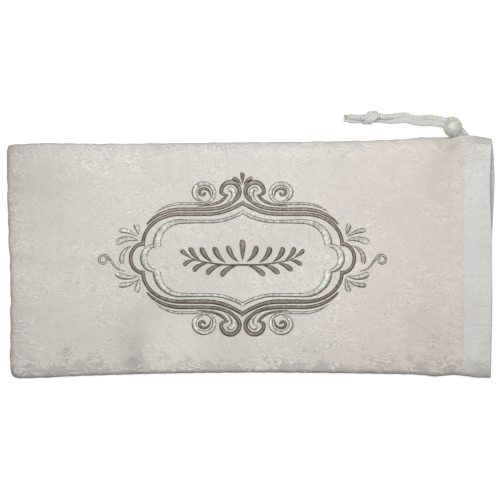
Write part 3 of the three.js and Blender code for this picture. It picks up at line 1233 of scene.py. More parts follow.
    def middle(self, side: Side, x: Array, y: Array) -> Array:
        """Points of a panel's middle surface."""
        spot, height = self.height(side, x, y)
        return np.stack([spot.x, spot.y, height], axis=-1)

    def normal(self, side: Side, x: Array, y: Array) -> Array:
        """Upward normals of a panel, from differences measured a hair inside its edges.

        Args:
            side: The panel.
            x: Even places along the case.
            y: Even places across it.

        Returns:
            A normal for each place.
        """
        step = self.normal_inset
        inner_x = np.clip(x, -self.half_length + 2 * step, self.half_length - 2 * step)
        inner_y = np.clip(y, -self.half_width + 2 * step, self.half_width - 2 * step)
        after, before = (self.middle(side, inner_x + move, inner_y) for move in (step, -step))
        above, below = (self.middle(side, inner_x, inner_y + move) for move in (step, -step))
        return unit(np.cross(after - before, above - below))

    def top_of_front(self, x: Array, y: Array) -> Array:
        """Height of the front's upper face, found by a few steps from real places back to even ones.

        Args:
            x: Real places along the case.
            y: Real places across it.

        Returns:
            The height at each place.
        """
        even_x, even_y = x, y
        for _ in range(self.search_steps):
            spot, height = self.height(Side.FRONT, even_x, even_y)
            even_x = even_x + x - spot.x
            even_y = even_y + y - spot.y
        return height + self.thickness / 2

    def panel(self, side: Side, columns: Array, rows: Array) -> Shape:
        """One panel as a closed sheet.

        The section along the case runs over the upper face, round the lip and back under the lower face,
        and is carried across the case. A strip closes each long edge.

        Args:
            side: The panel.
            columns: Even places along the case.
            rows: Even places across it.

        Returns:
            The sheet.
        """
        x, y = np.meshgrid(columns, rows, indexing="ij")
        middle = self.middle(side, x, y)
        offset = self.normal(side, x, y) * (self.thickness / 2)
        outward = unit(middle[-1] - middle[-2])
        angle = np.linspace(0.0, math.pi, self.rim_steps + 2)[1:-1, None, None]
        half = self.thickness / 2
        rim = middle[-1] + np.cos(angle) * offset[-1] + np.sin(angle) * outward * half
        points = np.concatenate([middle + offset, rim, (middle - offset)[::-1]])
        places = lattice(np.linspace(0.0, 1.0, len(points) + 1), np.linspace(0.0, 1.0, len(rows)))
        shape = Shape.on_grid(points, places, close_rows=True)
        tone = self.tone(side, self.height(side, x, y)[0])
        rim_tone = np.repeat(tone[-1:], self.rim_steps, axis=0)
        shape.tone = np.concatenate([tone, rim_tone, tone[::-1]]).ravel()
        count, width = len(points), len(rows)
        upper = np.arange((count - 1) // 2)
        lower = count - 1 - upper
        for edge, order in ((0, slice(None)), (width - 1, slice(None, None, -1))):
            strip = np.stack([upper, lower, lower - 1, upper + 1], axis=-1) * width + edge
            strip = strip[strip[:, 2] != strip[:, 3]]
            shape.add_quads(strip[:, order])
        return shape


def grid_lines(zones: Table) -> Array:
    """Even places in zones, each a start, an end and a number of steps, meeting end to end."""
    parts = [np.linspace(start, end, int(steps) + 1)[:-1] for start, end, steps in zones]
    return np.concatenate(parts + [[zones[-1][1]]])


@dataclass(frozen=True)
class LooseFibres:
    """Thin bowed fibres that leave a root and splay out."""

    count: int
    reach: float
    spread: float
    shortest: float = 0.45
    splay: Point = (1.0, 1.0, 0.5)
    root_share: float = 0.6
    bow_share: float = 0.25
    radii: tuple[float, ...] = (0.26, 0.28, 0.24, 0.12)
    step: float = 0.45
    sides: int = 5
    hint: Point = (0.13, 0.31, 0.94)

    def build(self, root: Array, forward: Array, draw: np.random.Generator) -> Shape:
        """Make the fibres: each is a curve through its start, a point beside its middle, and its end.

        Args:
            root: Where they leave.
            forward: The way they point.
            draw: The source of their differences.

        Returns:
            The fibres.
        """
        aside = draw.uniform(-1.0, 1.0, (self.count, 3)) * np.array(self.splay)
        length = self.reach * draw.uniform(self.shortest, 1.0, self.count)
        start = root + self.root_share * self.spread * aside
        end = start + length[:, None] * forward + self.spread * aside
        bow = self.bow_share * self.spread * draw.uniform(-1.0, 1.0, (self.count, 3))
        last = len(self.radii) - 1
        shapes = []
        for points in np.stack([start, (start + end) / 2 + bow, end], axis=1):
            path = even_rows(points, self.step, 3)
            radius = np.interp(np.linspace(0.0, last, len(path)), np.arange(last + 1), self.radii)
            shapes.append(tube(path, np.repeat(radius[:, None], self.sides, axis=1), self.hint))
        return Shape.joined(shapes)


@dataclass(frozen=True)
class Panels:
    """The two cloth panels and the sewing that shows on them."""

    cloth: CaseCloth
    front_finish: Material
    back_finish: Material
    thread: Material
    edge_thread: Material
    front_columns: Table = (
        (-200, -198.6, 4), (-198.6, -192, 10), (-192, 160, 216), (160, 186, 38), (186, 200, 12),
    )
    front_rows: Table = (
        (-97, -95.6, 4), (-95.6, -89, 10), (-89, 84, 112), (84, 95.6, 16), (95.6, 97, 4),
    )
    back_columns: Table = ((-200, -192, 10), (-192, 192, 120), (192, 200, 6))
    back_rows: Table = ((-97, -91, 8), (-91, 91, 60), (91, 97, 8))
    stitch_length: float = 2.5
    stitch_gap: float = 0.9
    stitch_radius: float = 0.16
    stitch_arch: float = 0.9
    stitch_sink: float = 0.35
    stitch_tip: float = 0.55
    stitch_swell: float = 0.45
    stitch_points: int = 8
    stitch_edge: float = 91.0
    thread_sides: int = 6
    overlock_start: float = 186.5
    overlock_end: float = 198.4
    overlock_depth: float = 4.8
    overlock_turns: int = 8
    overlock_radius: float = 0.38
    overlock_inset: float = 0.6
    overlock_lift: float = 0.4
    overlock_step: float = 0.3
    loose: LooseFibres = LooseFibres(count=3, reach=2.2, spread=0.8)
    loose_places: tuple[float, ...] = (174.5, 178.0, 180.5, 183.0, 186.0, 188.5)
    loose_inset: float = 0.6
    loose_way: Point = (0.3, 1.0, -0.15)
    seed: int = 5

    def build(self) -> tuple[Piece, ...]:
        """Make both sheets, the casing's stitches and the sewn edge by the mouth.

        Returns:
            The front, the back, the stitches and the sewn edge.
        """
        sheet = self.cloth.panel(Side.FRONT, grid_lines(self.front_columns), grid_lines(self.front_rows))
        front_piece = make_piece("front_cloth", sheet, self.front_finish)
        sheet = self.cloth.panel(Side.BACK, grid_lines(self.back_columns), grid_lines(self.back_rows))
        back_piece = make_piece("back_cloth", sheet, self.back_finish)
        stitches = make_piece("sewing", self.stitches(), self.thread)
        edge = Shape.joined([self.overlock(), self.loose_threads()])
        edging = make_piece("edge_sewing", edge, self.edge_thread)
        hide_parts("front_panel")
        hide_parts("back_panel")
        return front_piece, back_piece, stitches, edging

    def stitches(self) -> Shape:
        """Two rows of running stitches along the casing, each a small spindle half sunk in the cloth.

        Its height above the cloth and its radius both swell as a sine from end to end.

        Returns:
            The stitches.
        """
        pitch = self.stitch_length + self.stitch_gap
        starts = np.arange(-self.stitch_edge, self.stitch_edge, pitch)
        shapes = []
        for line in (self.cloth.casing_inner, self.cloth.casing_outer):
            t = np.linspace(0.0, 1.0, self.stitch_points)
            arch = np.sin(math.pi * t)
            y = starts[:, None] + t * self.stitch_length
            x = np.full_like(y, line)
            lift = self.stitch_radius * (arch * self.stitch_arch - self.stitch_sink)
            path = np.stack([x, y, self.cloth.top_of_front(x, y) + lift], axis=-1)
            radius = self.stitch_radius * (self.stitch_tip + self.stitch_swell * arch)[:, None]
            rings = np.repeat(radius, self.thread_sides, axis=1)
            shapes += [tube(one, rings, UP) for one in path]
        return Shape.joined(shapes)

    def overlock(self) -> Shape:
        """Two crossing zigzags of thread that bind the seam's end at the upper corner of the mouth.

        Each is a smooth curve through corners that lie by the edge and farther in, one after the other.

        Returns:
            Both threads.
        """
        x = np.linspace(self.overlock_start, self.overlock_end, self.overlock_turns)
        shapes = []
        for first in (0, 1):
            outer = np.arange(len(x)) % 2 == first
            inset = np.where(outer, self.overlock_inset, self.overlock_depth)
            turns = np.column_stack([x, read_edge(self.cloth.top_edge, x) - inset])
            flat = even_rows(turns, self.overlock_step, 2)
            lift = self.overlock_lift * self.overlock_radius
            path = np.column_stack([flat, self.cloth.top_of_front(flat[:, 0], flat[:, 1]) + lift])
            shapes.append(tube(path, np.full((len(path), self.thread_sides), self.overlock_radius), UP))
        return Shape.joined(shapes)

    def loose_threads(self) -> Shape:
        """Short fibres that stand out of the raw edge by the slit.

        Returns:
            The fibres.
        """
        draw = np.random.default_rng(self.seed)
        x = np.array(self.loose_places)
        y = read_edge(self.cloth.top_edge, x) - self.loose_inset
        roots = np.stack([x, y, self.cloth.top_of_front(x, y)], axis=-1)
        outward = unit(np.array(self.loose_way))
        return Shape.joined([self.loose.build(root, outward, draw) for root in roots])


class Thread(Enum):
    """The two embroidery threads."""

    DARK = "dark"
    SILVER = "silver"


@dataclass(frozen=True)
class Bow:
    """An elliptical arc from one angle to another, in degrees."""

    centre: Pair
    radii: Pair
    angles: Pair
    steps: int = 24

    def points(self) -> Array:
        """Cut it evenly by angle.

        Returns:
            Its points.
        """
        angle = np.radians(np.linspace(*self.angles, self.steps))
        x = self.centre[0] + self.radii[0] * np.cos(angle)
        y = self.centre[1] + self.radii[1] * np.sin(angle)
        return np.stack([x, y], axis=-1)


@dataclass(frozen=True)
class Whorl:
    """A spiral: its radius goes from one to the other by a power of the share of its sweep.

    A power under 1 closes it early, and a squash under 1 makes it lower than wide.
    """

    centre: Pair
    radii: Pair
    angles: Pair
    power: float = 1.0
    squash: float = 1.0
    step: float = 8.0
    least_points: int = 8

    def points(self) -> Array:
        """Cut it evenly by angle.

        Returns:
            Its points.
        """
        sweep = abs(self.angles[1] - self.angles[0])
        share = np.linspace(0.0, 1.0, max(int(sweep / self.step), self.least_points))
        angle = np.radians(mix(*self.angles, share))
        radius = mix(*self.radii, share**self.power)
        x = self.centre[0] + radius * np.cos(angle)
        y = self.centre[1] + self.squash * (radius * np.sin(angle))
        return np.stack([x, y], axis=-1)


@dataclass(frozen=True)
class Border:
    """A frame's quarter: a parabola down from the point of a brow, a level run, then a quarter ellipse."""

    brow: Pair
    level: float
    corner: Pair
    reach: float
    overlap: float = 1.2
    brow_points: int = 12
    run_points: int = 4
    angles: Pair = (90.0, -4.0)

    def points(self) -> Array:
        """Cut it from the brow to the side.

        Returns:
            Its points.
        """
        width, height = self.brow
        x = np.linspace(-self.overlap, width, self.brow_points)
        fall = np.stack([x, self.level + height * (1 - x / width) ** 2], axis=-1)
        x = np.linspace(width, self.corner[0], self.run_points + 2)[1:-1]
        run = np.stack([x, np.full_like(x, self.level)], axis=-1)
        turn = Bow(self.corner, (self.reach, self.level - self.corner[1]), self.angles)
        return np.concatenate([fall, run, turn.points()])


def tapered(points: Array, widths: Table) -> Array:
    """Give each point of a line a width, read from a table of share along the line and width."""
    reach = reach_along(points)
    return np.column_stack([points, read_edge(widths, reach / reach[-1])])


@dataclass(frozen=True)
class Lie:
    """How much of its light a satin band loses, as painted shade.

    It is the loss along the case above and below the middle, where the band stands upright, past the side
    lobes on the left and on the right, and on its shaded side.
    """

    above: float
    below: float
    upright: float
    far_left: float
    far_right: float
    shaded_side: float


@dataclass(frozen=True)
class ScrollFrame:
    """Embroidered frame of common scrolls and leaves, with a leaf sprig in its middle.

    It is drawn in its own place about its middle, right and upper quarter first, and mirrored.
    """

    cloth: CaseCloth
    dark: Material
    silver: Material
    centre: Pair = (-6.5, -1.4)
    seed: int = 7

    # The stitches. Shares are a low ring's, what a high ring adds, and how much each thread differs.
    pitch: float = 0.5
    slant: float = 0.22
    sink: float = 0.25
    least_width: float = 0.35
    half_shares: Point = (0.94, 0.06, 0.025)
    crown_shares: Point = (0.80, 0.20, 0.04)
    crown_share: float = 0.27
    crown_least: float = 0.22
    crown_limit: float = 0.95
    profile_points: int = 9
    thin_half: float = 1.1

    # How the threads take the light: painted shade by place and way, and on each band's shaded side.
    dark_lie: Lie = Lie(
        above=0.02, below=0.26, upright=0.24, far_left=0.20, far_right=0.20, shaded_side=0.84
    )
    silver_lie: Lie = Lie(
        above=0.25, below=0.12, upright=0.0, far_left=0.06, far_right=0.24, shaded_side=0.76
    )
    level_range: Pair = (0.55, 1.0)
    # The way that each band's painted shaded side faces, above and below the middle, and how it eases in.
    shade_way: Pair = (1.0, -0.55)
    low_shade_way: Pair = (1.0, -1.0)
    shade_range: Pair = (0.05, 0.85)

    # The plain frame: a quarter above, a heavier one below, and a side lobe. Widths go by share of a line.
    frame: Border = Border((30.0, 9.3), 36.3, (52.0, 11.8), 30.0)
    frame_widths: Table = ((0.0, 3.3), (1.0, 3.3))
    low_frame: Border = Border((30.0, 10.2), 35.7, (52.0, 11.8), 30.0)
    low_widths: Table = ((0.0, 3.3), (0.2, 4.0), (0.45, 4.0), (0.7, 3.3), (1.0, 3.3))
    lobe: Bow = Bow((81.9, 0.0), (10.3, 11.9), (96.0, -96.0), 32)

    # The dark scroll over it: a shoulder, a rise, a curl with its hook, a branch and a smaller curl.
    shoulder: Bow = Bow((50.0, 14.0), (34.0, 26.4), (32.0, 90.0))
    rise: Table = ((38.0, 40.3), (28.0, 40.5), (18.6, 41.7), (11.4, 44.4))
    curl: Whorl = Whorl((10.1, 55.1), (7.7, 7.5), (236.0, 2.0))
    hook: Whorl = Whorl((10.9, 55.4), (6.8, 3.4), (-10.0, -74.0), 0.8)
    scroll_widths: Table = (
        (0.0, 1.7), (0.06, 2.5), (0.2, 3.4), (0.5, 3.4), (0.72, 3.8), (0.84, 4.3), (0.94, 3.4), (1.0, 1.8),
    )
    branch: Table = (
        (12.9, 52.6, 1.5), (14.6, 49.8, 2.6), (18.8, 46.6, 2.8),
        (25.2, 44.4, 2.2), (31.8, 43.4, 1.5), (37.6, 43.0, 0.8),
    )
    core: Whorl = Whorl((32.6, 54.0), (7.3, 1.2), (208.0, -205.0), 0.5, 0.84)
    core_widths: Table = ((0.0, 1.0), (0.25, 2.2), (0.6, 2.8), (0.85, 2.6), (1.0, 1.9))

    # The silver band inside the frame.
    band: Border = Border((27.0, 7.6), 30.3, (50.0, 11.6), 20.6)
    band_widths: Table = ((0.0, 3.0), (0.2, 3.2), (0.5, 3.4), (0.72, 5.0), (0.9, 7.0), (1.0, 7.4))
    band_lobe: Bow = Bow((72.4, 0.0), (9.1, 10.2), (92.0, -92.0), 32)
    lobe_widths: Table = ((0.0, 3.2), (0.3, 5.6), (0.5, 6.5), (0.7, 5.6), (1.0, 3.2))

    # The silver scroll: a brim that runs into a volute, a comma by the dark curl, and a side tendril.
    brim: Bow = Bow((50.0, 21.0), (29.5, 24.0), (44.0, 90.0))
    brim_end: Pair = (41.0, 44.9)
    volute: Whorl = Whorl((32.2, 54.0), (9.6, 7.4), (268.0, -88.0), 0.8, 0.90)
    volute_widths: Table = (
        (0.0, 0.8), (0.1, 2.0), (0.25, 2.6), (0.46, 2.5), (0.56, 3.5),
        (0.75, 4.0), (0.88, 4.2), (0.95, 2.8), (1.0, 0.8),
    )
    comma: Table = (
        (12.4, 55.8, 2.4), (10.0, 57.2, 4.4), (7.4, 54.6, 5.0),
        (7.8, 50.8, 4.0), (10.9, 46.8, 2.4), (14.8, 44.2, 1.0),
    )
    tendril_stem: Bow = Bow((96.6, 1.4), (11.8, 11.8), (-90.0, -26.0), 8)
    tendril_curl: Whorl = Whorl((114.6, -1.3), (4.5, 2.1), (160.0, -250.0), 0.9)
    tendril_widths: Table = ((0.0, 1.2), (0.3, 2.1), (0.8, 2.3), (1.0, 1.6))

    # Columns of a leaf: base x, base y, tip x, tip y, bow to its left, width.
    side_leaves: Table = (
        (85.8, 18.8, 88.4, 28.3, 0.4, 5.4), (86.2, 17.6, 101.8, 23.2, 1.4, 4.9),
        (85.2, 14.0, 104.2, 12.4, 2.8, 6.6), (89.9, 10.6, 99.4, -4.8, 4.0, 5.0),
        (85.6, -14.2, 104.4, -12.4, -2.4, 6.4), (86.2, -17.8, 102.2, -22.2, -1.4, 5.1),
        (85.0, -15.6, 87.8, -27.8, -0.4, 5.6),
    )
    crest_leaves: Table = ((0.0, 61.4, 0.0, 70.9, 0.0, 4.6), (1.0, 60.2, 8.6, 66.2, 1.3, 4.0))
    leaf_points: int = 18
    leaf_least: float = 0.35
    leaf_fullness: float = 1.08
    leaf_swell: float = 0.75
    leaf_round: int = 7

    # The sprig: leaves along a bowed stem, drawn for the right half.
    sprig_leaves: Table = (
        (0.0, -2.0, 0.0, 15.5, 0.0, 6.2), (3.0, -3.0, 11.8, 10.5, -2.0, 5.6),
        (13.5, -3.6, 23.0, 9.6, -2.0, 5.8), (24.5, -3.2, 33.8, 9.2, -1.8, 5.6),
        (35.0, -1.4, 43.0, 9.2, -1.4, 5.0), (43.0, 1.4, 50.8, 7.2, -0.6, 4.4),
        (5.0, -6.6, 17.8, -14.6, 1.8, 5.6), (17.0, -6.0, 29.6, -13.2, 1.8, 5.6),
        (29.0, -4.4, 40.6, -10.6, 1.6, 5.2), (39.0, -1.6, 48.6, -6.0, 1.2, 4.4),
    )
    sprig_stem: Table = (
        (0.0, -5.4, 1.8), (12.0, -5.4, 1.7), (26.0, -4.0, 1.5), (38.0, -1.4, 1.3), (47.0, 2.2, 0.8),
    )

    def build(self) -> tuple[Piece, Piece]:
        """Stitch the frame in both threads.

        Returns:
            The dark and the silver embroidery.
        """
        draw = np.random.default_rng(self.seed)
        made = []
        for thread, runs, finish, slot, lie in (
            (Thread.DARK, self.dark_runs(), self.dark, Slot.DARK, self.dark_lie),
            (Thread.SILVER, self.silver_runs(), self.silver, Slot.SILVER, self.silver_lie),
        ):
            shape = Shape.joined([self.satin(run, lie, draw) for run in runs])
            made.append(make_piece(f"scroll_{thread.value}", shape, finish))
        return made[0], made[1]

    @staticmethod
    def mirrored(runs: list[Array], down: bool = True) -> list[Array]:
        """Repeat runs of the right half on the left, and below too where asked."""
        signs = [(a, b) for a in (1, -1) for b in ((1, -1) if down else (1,))]
        return [run * np.array([a, b, 1.0]) for run in runs for a, b in signs]

    def leaf(self, row: tuple[float, ...]) -> Array:
        """Draw a drop-shaped leaf.

        Its midline bows aside as a parabola. Its width swells from the base by a power of the share along
        it and closes round the tip.

        Args:
            row: A row of a table of leaves.

        Returns:
            Rows of x, y and width.
        """
        base, tip, bow, width = np.array(row[:2]), np.array(row[2:4]), row[4], row[5]
        share = np.sin(np.linspace(0.0, math.pi / 2, self.leaf_points))
        left = np.array([-(tip - base)[1], (tip - base)[0]])
        left = left / np.linalg.norm(left)
        line = base + share[:, None] * (tip - base) + (4 * bow * share * (1 - share))[:, None] * left
        swell = share**self.leaf_swell * np.sqrt(1 - share**self.leaf_round)
        return np.column_stack([line, self.leaf_least + self.leaf_fullness * width * swell])

    def dark_runs(self) -> list[Array]:
        """Draw every run in the dark thread.

        Returns:
            Rows of x, y and width for each run.
        """
        quarter = tapered(self.frame.points(), self.frame_widths)
        low_quarter = tapered(self.low_frame.points(), self.low_widths) * np.array([1.0, -1.0, 1.0])
        lobe = tapered(self.lobe.points(), self.frame_widths)
        line = [self.shoulder.points(), np.array(self.rise), self.curl.points(), self.hook.points()]
        outer = tapered(np.concatenate(line), self.scroll_widths)
        core = tapered(self.core.points(), self.core_widths)
        crest = [self.leaf(row) for row in self.crest_leaves]
        sprig = [self.leaf(row) for row in self.sprig_leaves]
        return (
            self.mirrored([outer, np.array(self.branch), core])
            + self.mirrored([quarter, low_quarter, lobe], down=False)
            + [crest[0], sprig[0]]
            + self.mirrored(crest[1:] + sprig[1:] + [np.array(self.sprig_stem)], down=False)
        )

    def silver_runs(self) -> list[Array]:
        """Draw every run in the silver thread.

        Returns:
            Rows of x, y and width for each run.
        """
        quarter = tapered(self.band.points(), self.band_widths)
        lobe = tapered(self.band_lobe.points(), self.lobe_widths)
        line = [self.brim.points(), np.array([self.brim_end]), self.volute.points()]
        outer = tapered(np.concatenate(line), self.volute_widths)
        line = [self.tendril_stem.points(), self.tendril_curl.points()]
        tendril = tapered(np.concatenate(line), self.tendril_widths)
        leaves = [self.leaf(row) for row in self.side_leaves]
        return (
            self.mirrored([quarter, outer, np.array(self.comma)])
            + self.mirrored([lobe, tendril] + leaves, down=False)
        )

    def satin(self, run: Array, lie: Lie, draw: np.random.Generator) -> Shape:
        """Lay satin stitches side by side along a run.

        Each thread lies across the run on a slant and takes two rings, a high one on the thread and a low
        one beside it. A ring is a half ellipse above the cloth, sunk a little at both edges.

        Args:
            run: Rows of x, y and width about the frame's middle.
            lie: How the thread takes the light.
            draw: The source of each thread's small differences.

        Returns:
            A closed band.
        """
        rows = even_rows(run, self.pitch / 2, 2)
        rings, count = len(rows), self.profile_points
        forward = unit(np.gradient(rows[:, :2], axis=0))
        left = np.stack([-forward[:, 1], forward[:, 0]], axis=-1)
        high = 1.0 - (np.arange(rings) % 2)
        jitter = np.repeat(draw.normal(0.0, 1.0, (rings + 1) // 2), 2)[:rings]
        width = np.maximum(rows[:, 2], self.least_width)
        low, more, play = self.half_shares
        half = width / 2 * (low + more * high + play * jitter)
        low, more, play = self.crown_shares
        crown = np.clip(self.crown_share * width, self.crown_least, self.crown_limit)
        crown = crown * (low + more * high + play * jitter)
        t = np.sin(np.linspace(-math.pi / 2, math.pi / 2, count))
        offset = half[:, None] * t
        flat = rows[:, None, :2] + offset[..., None] * (left + self.slant * forward)[:, None]
        flat = flat + np.array(self.centre)
        base = self.cloth.top_of_front(flat[..., 0], flat[..., 1])
        rise = (crown[:, None] + self.sink) * np.sqrt(np.clip(1 - t**2, 0, 1)) - self.sink
        points = np.concatenate([flat, (base + rise)[..., None]], axis=-1)[:, ::-1]
        along = np.arange(rings) * (self.pitch / 2)
        inward = np.maximum(half, self.thin_half)[:, None] * (1 - np.abs(t))
        shape = Shape.on_grid(points, np.stack(np.broadcast_arrays(along[:, None], inward), axis=-1))
        start = np.arange(rings - 1) * count
        under = np.stack([start, start + count - 1, start + 2 * count - 1, start + count], axis=-1)
        shape.add_quads(under)
        # The tone is painted shade.
        shape.tone = self.light(rows, forward, t[::-1], lie).ravel()
        ring = np.arange(count)
        shape.add_fan(ring, (along[0], 0.0))
        shape.add_fan((rings - 1) * count + ring[::-1], (along[-1], 0.0))
        return shape

    def light(self, rows: Array, forward: Array, t: Array, lie: Lie) -> Array:
        """How much light each point of a band keeps as painted shade, by its place, its way and its side.

        Args:
            rows: Rows of x, y and width about the frame's middle.
            forward: The way of the run at each row.
            t: Shares of the half width across the run, in the order of a ring's points.
            lie: What the thread loses.

        Returns:
            A share for each ring and point.
        """
        x, y = rows[:, 0], rows[:, 1]
        left = np.stack([-forward[:, 1], forward[:, 0]], axis=-1)
        loss = np.where(y > 0, lie.above, lie.below)
        loss = mix(lie.upright, loss, ease(*self.level_range, np.abs(forward[:, 0])))
        far = np.where(x > 0, lie.far_right, lie.far_left)
        loss = np.where(np.abs(x) > self.lobe.centre[0], far, loss)
        shade_way = np.where(y[:, None] > 0, self.shade_way, self.low_shade_way)
        shade_way = shade_way * np.stack([np.sign(x), np.ones(len(x))], axis=-1)
        shaded_side = ease(*self.shade_range, (left * shade_way).sum(axis=-1)[:, None] * t)
        return (1 - loss)[:, None] * (1 - lie.shaded_side * shaded_side)


@dataclass(frozen=True)
class Drawstring:
    """The doubled cord, the bead that slides on it and the knot with its two cut tails."""

    cord: Material
    singed: Material
    loose: Material
    pearl: Material
    seed: int = 11

    # The cord and its cut ends.
    fray: LooseFibres = LooseFibres(count=26, reach=4.6, spread=1.1)
    fray_inset: float = 2.4
    tail_taper: float = 3.0
    taper_least: float = 0.02
    diameter: float = 3.6
    ring_step: float = 0.24
    sides: int = 24
    flatness: float = 0.30
    rib_rise: float = 0.09

    # The bead.
    bead_radius: float = 8.0
    bead_size: Point = (1.0, 1.07, 1.0)
    bead_shift: Point = (-0.3, -0.4, 0.0)
    bead_bore: float = 3.85
    bead_lip: float = 0.6
    bead_turns: int = 64
    ball_points: int = 40
    lip_points: int = 7
    wall_points: int = 6
    bead_centre: Point = (167.15, 107.65, 8.05)
    bead_axis: Point = (-0.84, 0.49, 0.196)

    # The knot, and where the cords leave the case.
    knot_centre: Point = (99.2, 114.8, 5.8)
    knot_turns: float = 2.4
    knot_pitch: float = 3.9
    knot_slant: float = 3.5
    knot_radius: float = 4.15
    knot_flatness: float = -0.18
    knot_points: int = 120
    knot_tuck: float = 0.12
    knot_tuck_radius: float = 0.35
    exit: Point = (176.2, 100.0, 4.5)

    # The routes of the cords, point by point.
    upper_strand: Table = (
        (179.6, 93.6, 4.1), (178.7, 97.2, 4.1), (177.3, 100.6, 4.5), (175.8, 103.1, 5.4),
        (173.6, 105.3, 6.72), (168.2, 109.0, 8.05), (162.4, 112.0, 9.2), (158.9, 113.0, 9.4),
        (155.2, 113.9, 8.8), (151, 114.6, 7.5), (146.5, 115.0, 5.8), (142, 114.7, 4.1),
        (137.5, 114.5, 2.8), (133, 115.5, 2.1), (128.5, 117.0, 1.9), (123.5, 116.9, 2.1),
        (118.5, 116.1, 3.0), (114.2, 115.6, 4.8), (110.6, 115.7, 6.4), (107.2, 116.2, 7.1),
    )
    lower_strand: Table = (
        (176.4, 91.8, 4.1), (175.7, 95.4, 4.1), (174.6, 98.9, 4.4), (173.2, 100.5, 5.3),
        (171.33, 102.0, 6.72), (165.8, 105.6, 8.05), (160.2, 108.3, 9.2), (156.8, 109.1, 9.2),
        (153.2, 109.7, 8.5), (149.2, 110.1, 7.2), (145, 110.3, 5.6), (140.8, 110.3, 3.9),
        (136.5, 110.9, 2.6), (132.2, 112.1, 2.0), (127.5, 113.1, 1.9), (122.5, 112.6, 1.9),
        (117.5, 112.3, 1.95), (113.2, 112.4, 2.7), (110.2, 112.8, 3.6), (107.2, 113.1, 4.2),
    )
    upper_tail: Table = (
        (107.6, 116.2, 7.05), (102, 115.9, 7.6), (97, 115.5, 7.3), (91.5, 115.1, 6.4),
        (86, 115.3, 4.6), (82, 115.7, 3.4), (79.4, 116.0, 2.8),
    )
    lower_tail: Table = (
        (107.6, 113.08, 4.15), (102, 113.3, 4.8), (97, 113.3, 4.8), (91.5, 112.9, 4.2),
        (86, 112.7, 2.8), (82, 112.8, 2.1), (79.2, 113.1, 1.9),
    )

    def build(self) -> list[Piece]:
        """Returns:
            The pieces.
        """
        bead = make_piece("pearl_stopper", self.bead(), self.pearl)
        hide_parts("stopper_bead")
        knot = make_piece("cord_tie", self.knot(), self.cord)
        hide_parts("cord_knot")
        draw = np.random.default_rng(self.seed)
        fibres = self.frayed(self.upper_tail, draw)
        singed_end = make_piece("cord_end_singed", fibres, self.singed)
        fibres = self.frayed(self.lower_tail, draw)
        pale_end = make_piece("cord_end_pale", fibres, self.loose)
        pieces = [bead, knot, singed_end, pale_end]
        for name, node, route in (
            ("cord_upper", "cord_strand_upper", self.upper_strand),
            ("cord_lower", "cord_strand_lower", self.lower_strand),
        ):
            path = self.rings(route)
            strand = make_piece(name, self.braid(path, UP, self.flatness), self.cord)
            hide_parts(node)
            pieces.append(strand)
        return pieces

    def rings(self, route: Table | Array) -> Array:
        """Even ring centres along a route."""
        return even_rows(np.array(route), self.ring_step, 3)

    def braid(self, path: Array, hint: Point, flatness: float, taper: float = 0.0) -> Shape:
        """A ribbed tube: each rib is a sine along the cord, swept back at both sides into a chevron.

        Args:
            path: Even ring centres.
            hint: A direction that the path never runs along.
            flatness: How much wider than round the cord lies.
            taper: Length of the closing tip, or 0 for a full end.

        Returns:
            The tube.
        """
        along = reach_along(path)[:, None]
        around = np.linspace(0.0, 1.0, self.sides, endpoint=False)[None]
        turn = along / RIB_PITCH + RIB_SWEEP * np.abs(np.cos(TURN * around))
        radius = self.diameter / 2 * (1 + self.rib_rise * np.sin(TURN * turn))
        if taper > 0:
            radius = radius * np.sqrt(np.clip((along[-1] - along) / taper, self.taper_least, 1.0))
        return tube(path, radius, hint, flatness)

    def knot(self) -> Shape:
        """The overhand wrap round both strands, and the two tails that leave it.

        The wrap is a coil: it goes evenly along the case, leans by the cosine of its turn, and its radius
        closes at both ends.

        Returns:
            The knot with its tails.
        """
        share = np.linspace(0.0, 1.0, self.knot_points)
        angle = TURN * self.knot_turns * share
        tuck = ease(0.0, self.knot_tuck, share) * (1 - ease(1 - self.knot_tuck, 1.0, share))
        radius = self.knot_radius * mix(self.knot_tuck_radius, 1.0, tuck)
        wrap = np.stack([
            self.knot_pitch * self.knot_turns * (0.5 - share) + self.knot_slant * np.cos(angle),
            radius * np.cos(angle),
            radius * np.sin(angle),
        ], axis=-1) + np.array(self.knot_centre)
        shapes = [self.braid(self.rings(wrap), (1.0, 0.0, 0.0), self.knot_flatness)]
        for tail in (self.upper_tail, self.lower_tail):
            shapes.append(self.braid(self.rings(tail), UP, self.flatness, self.tail_taper))
        return Shape.joined(shapes)

    def frayed(self, tail: Table, draw: np.random.Generator) -> Shape:
        """Loose fibres at a tail's cut end.

        Args:
            tail: The tail's route.
            draw: The source of their differences.

        Returns:
            The fibres.
        """
        route = np.array(tail)
        forward = unit(route[-1] - route[-2])
        root = route[-1] - self.fray_inset * forward
        return self.fray.build(root, forward, draw)

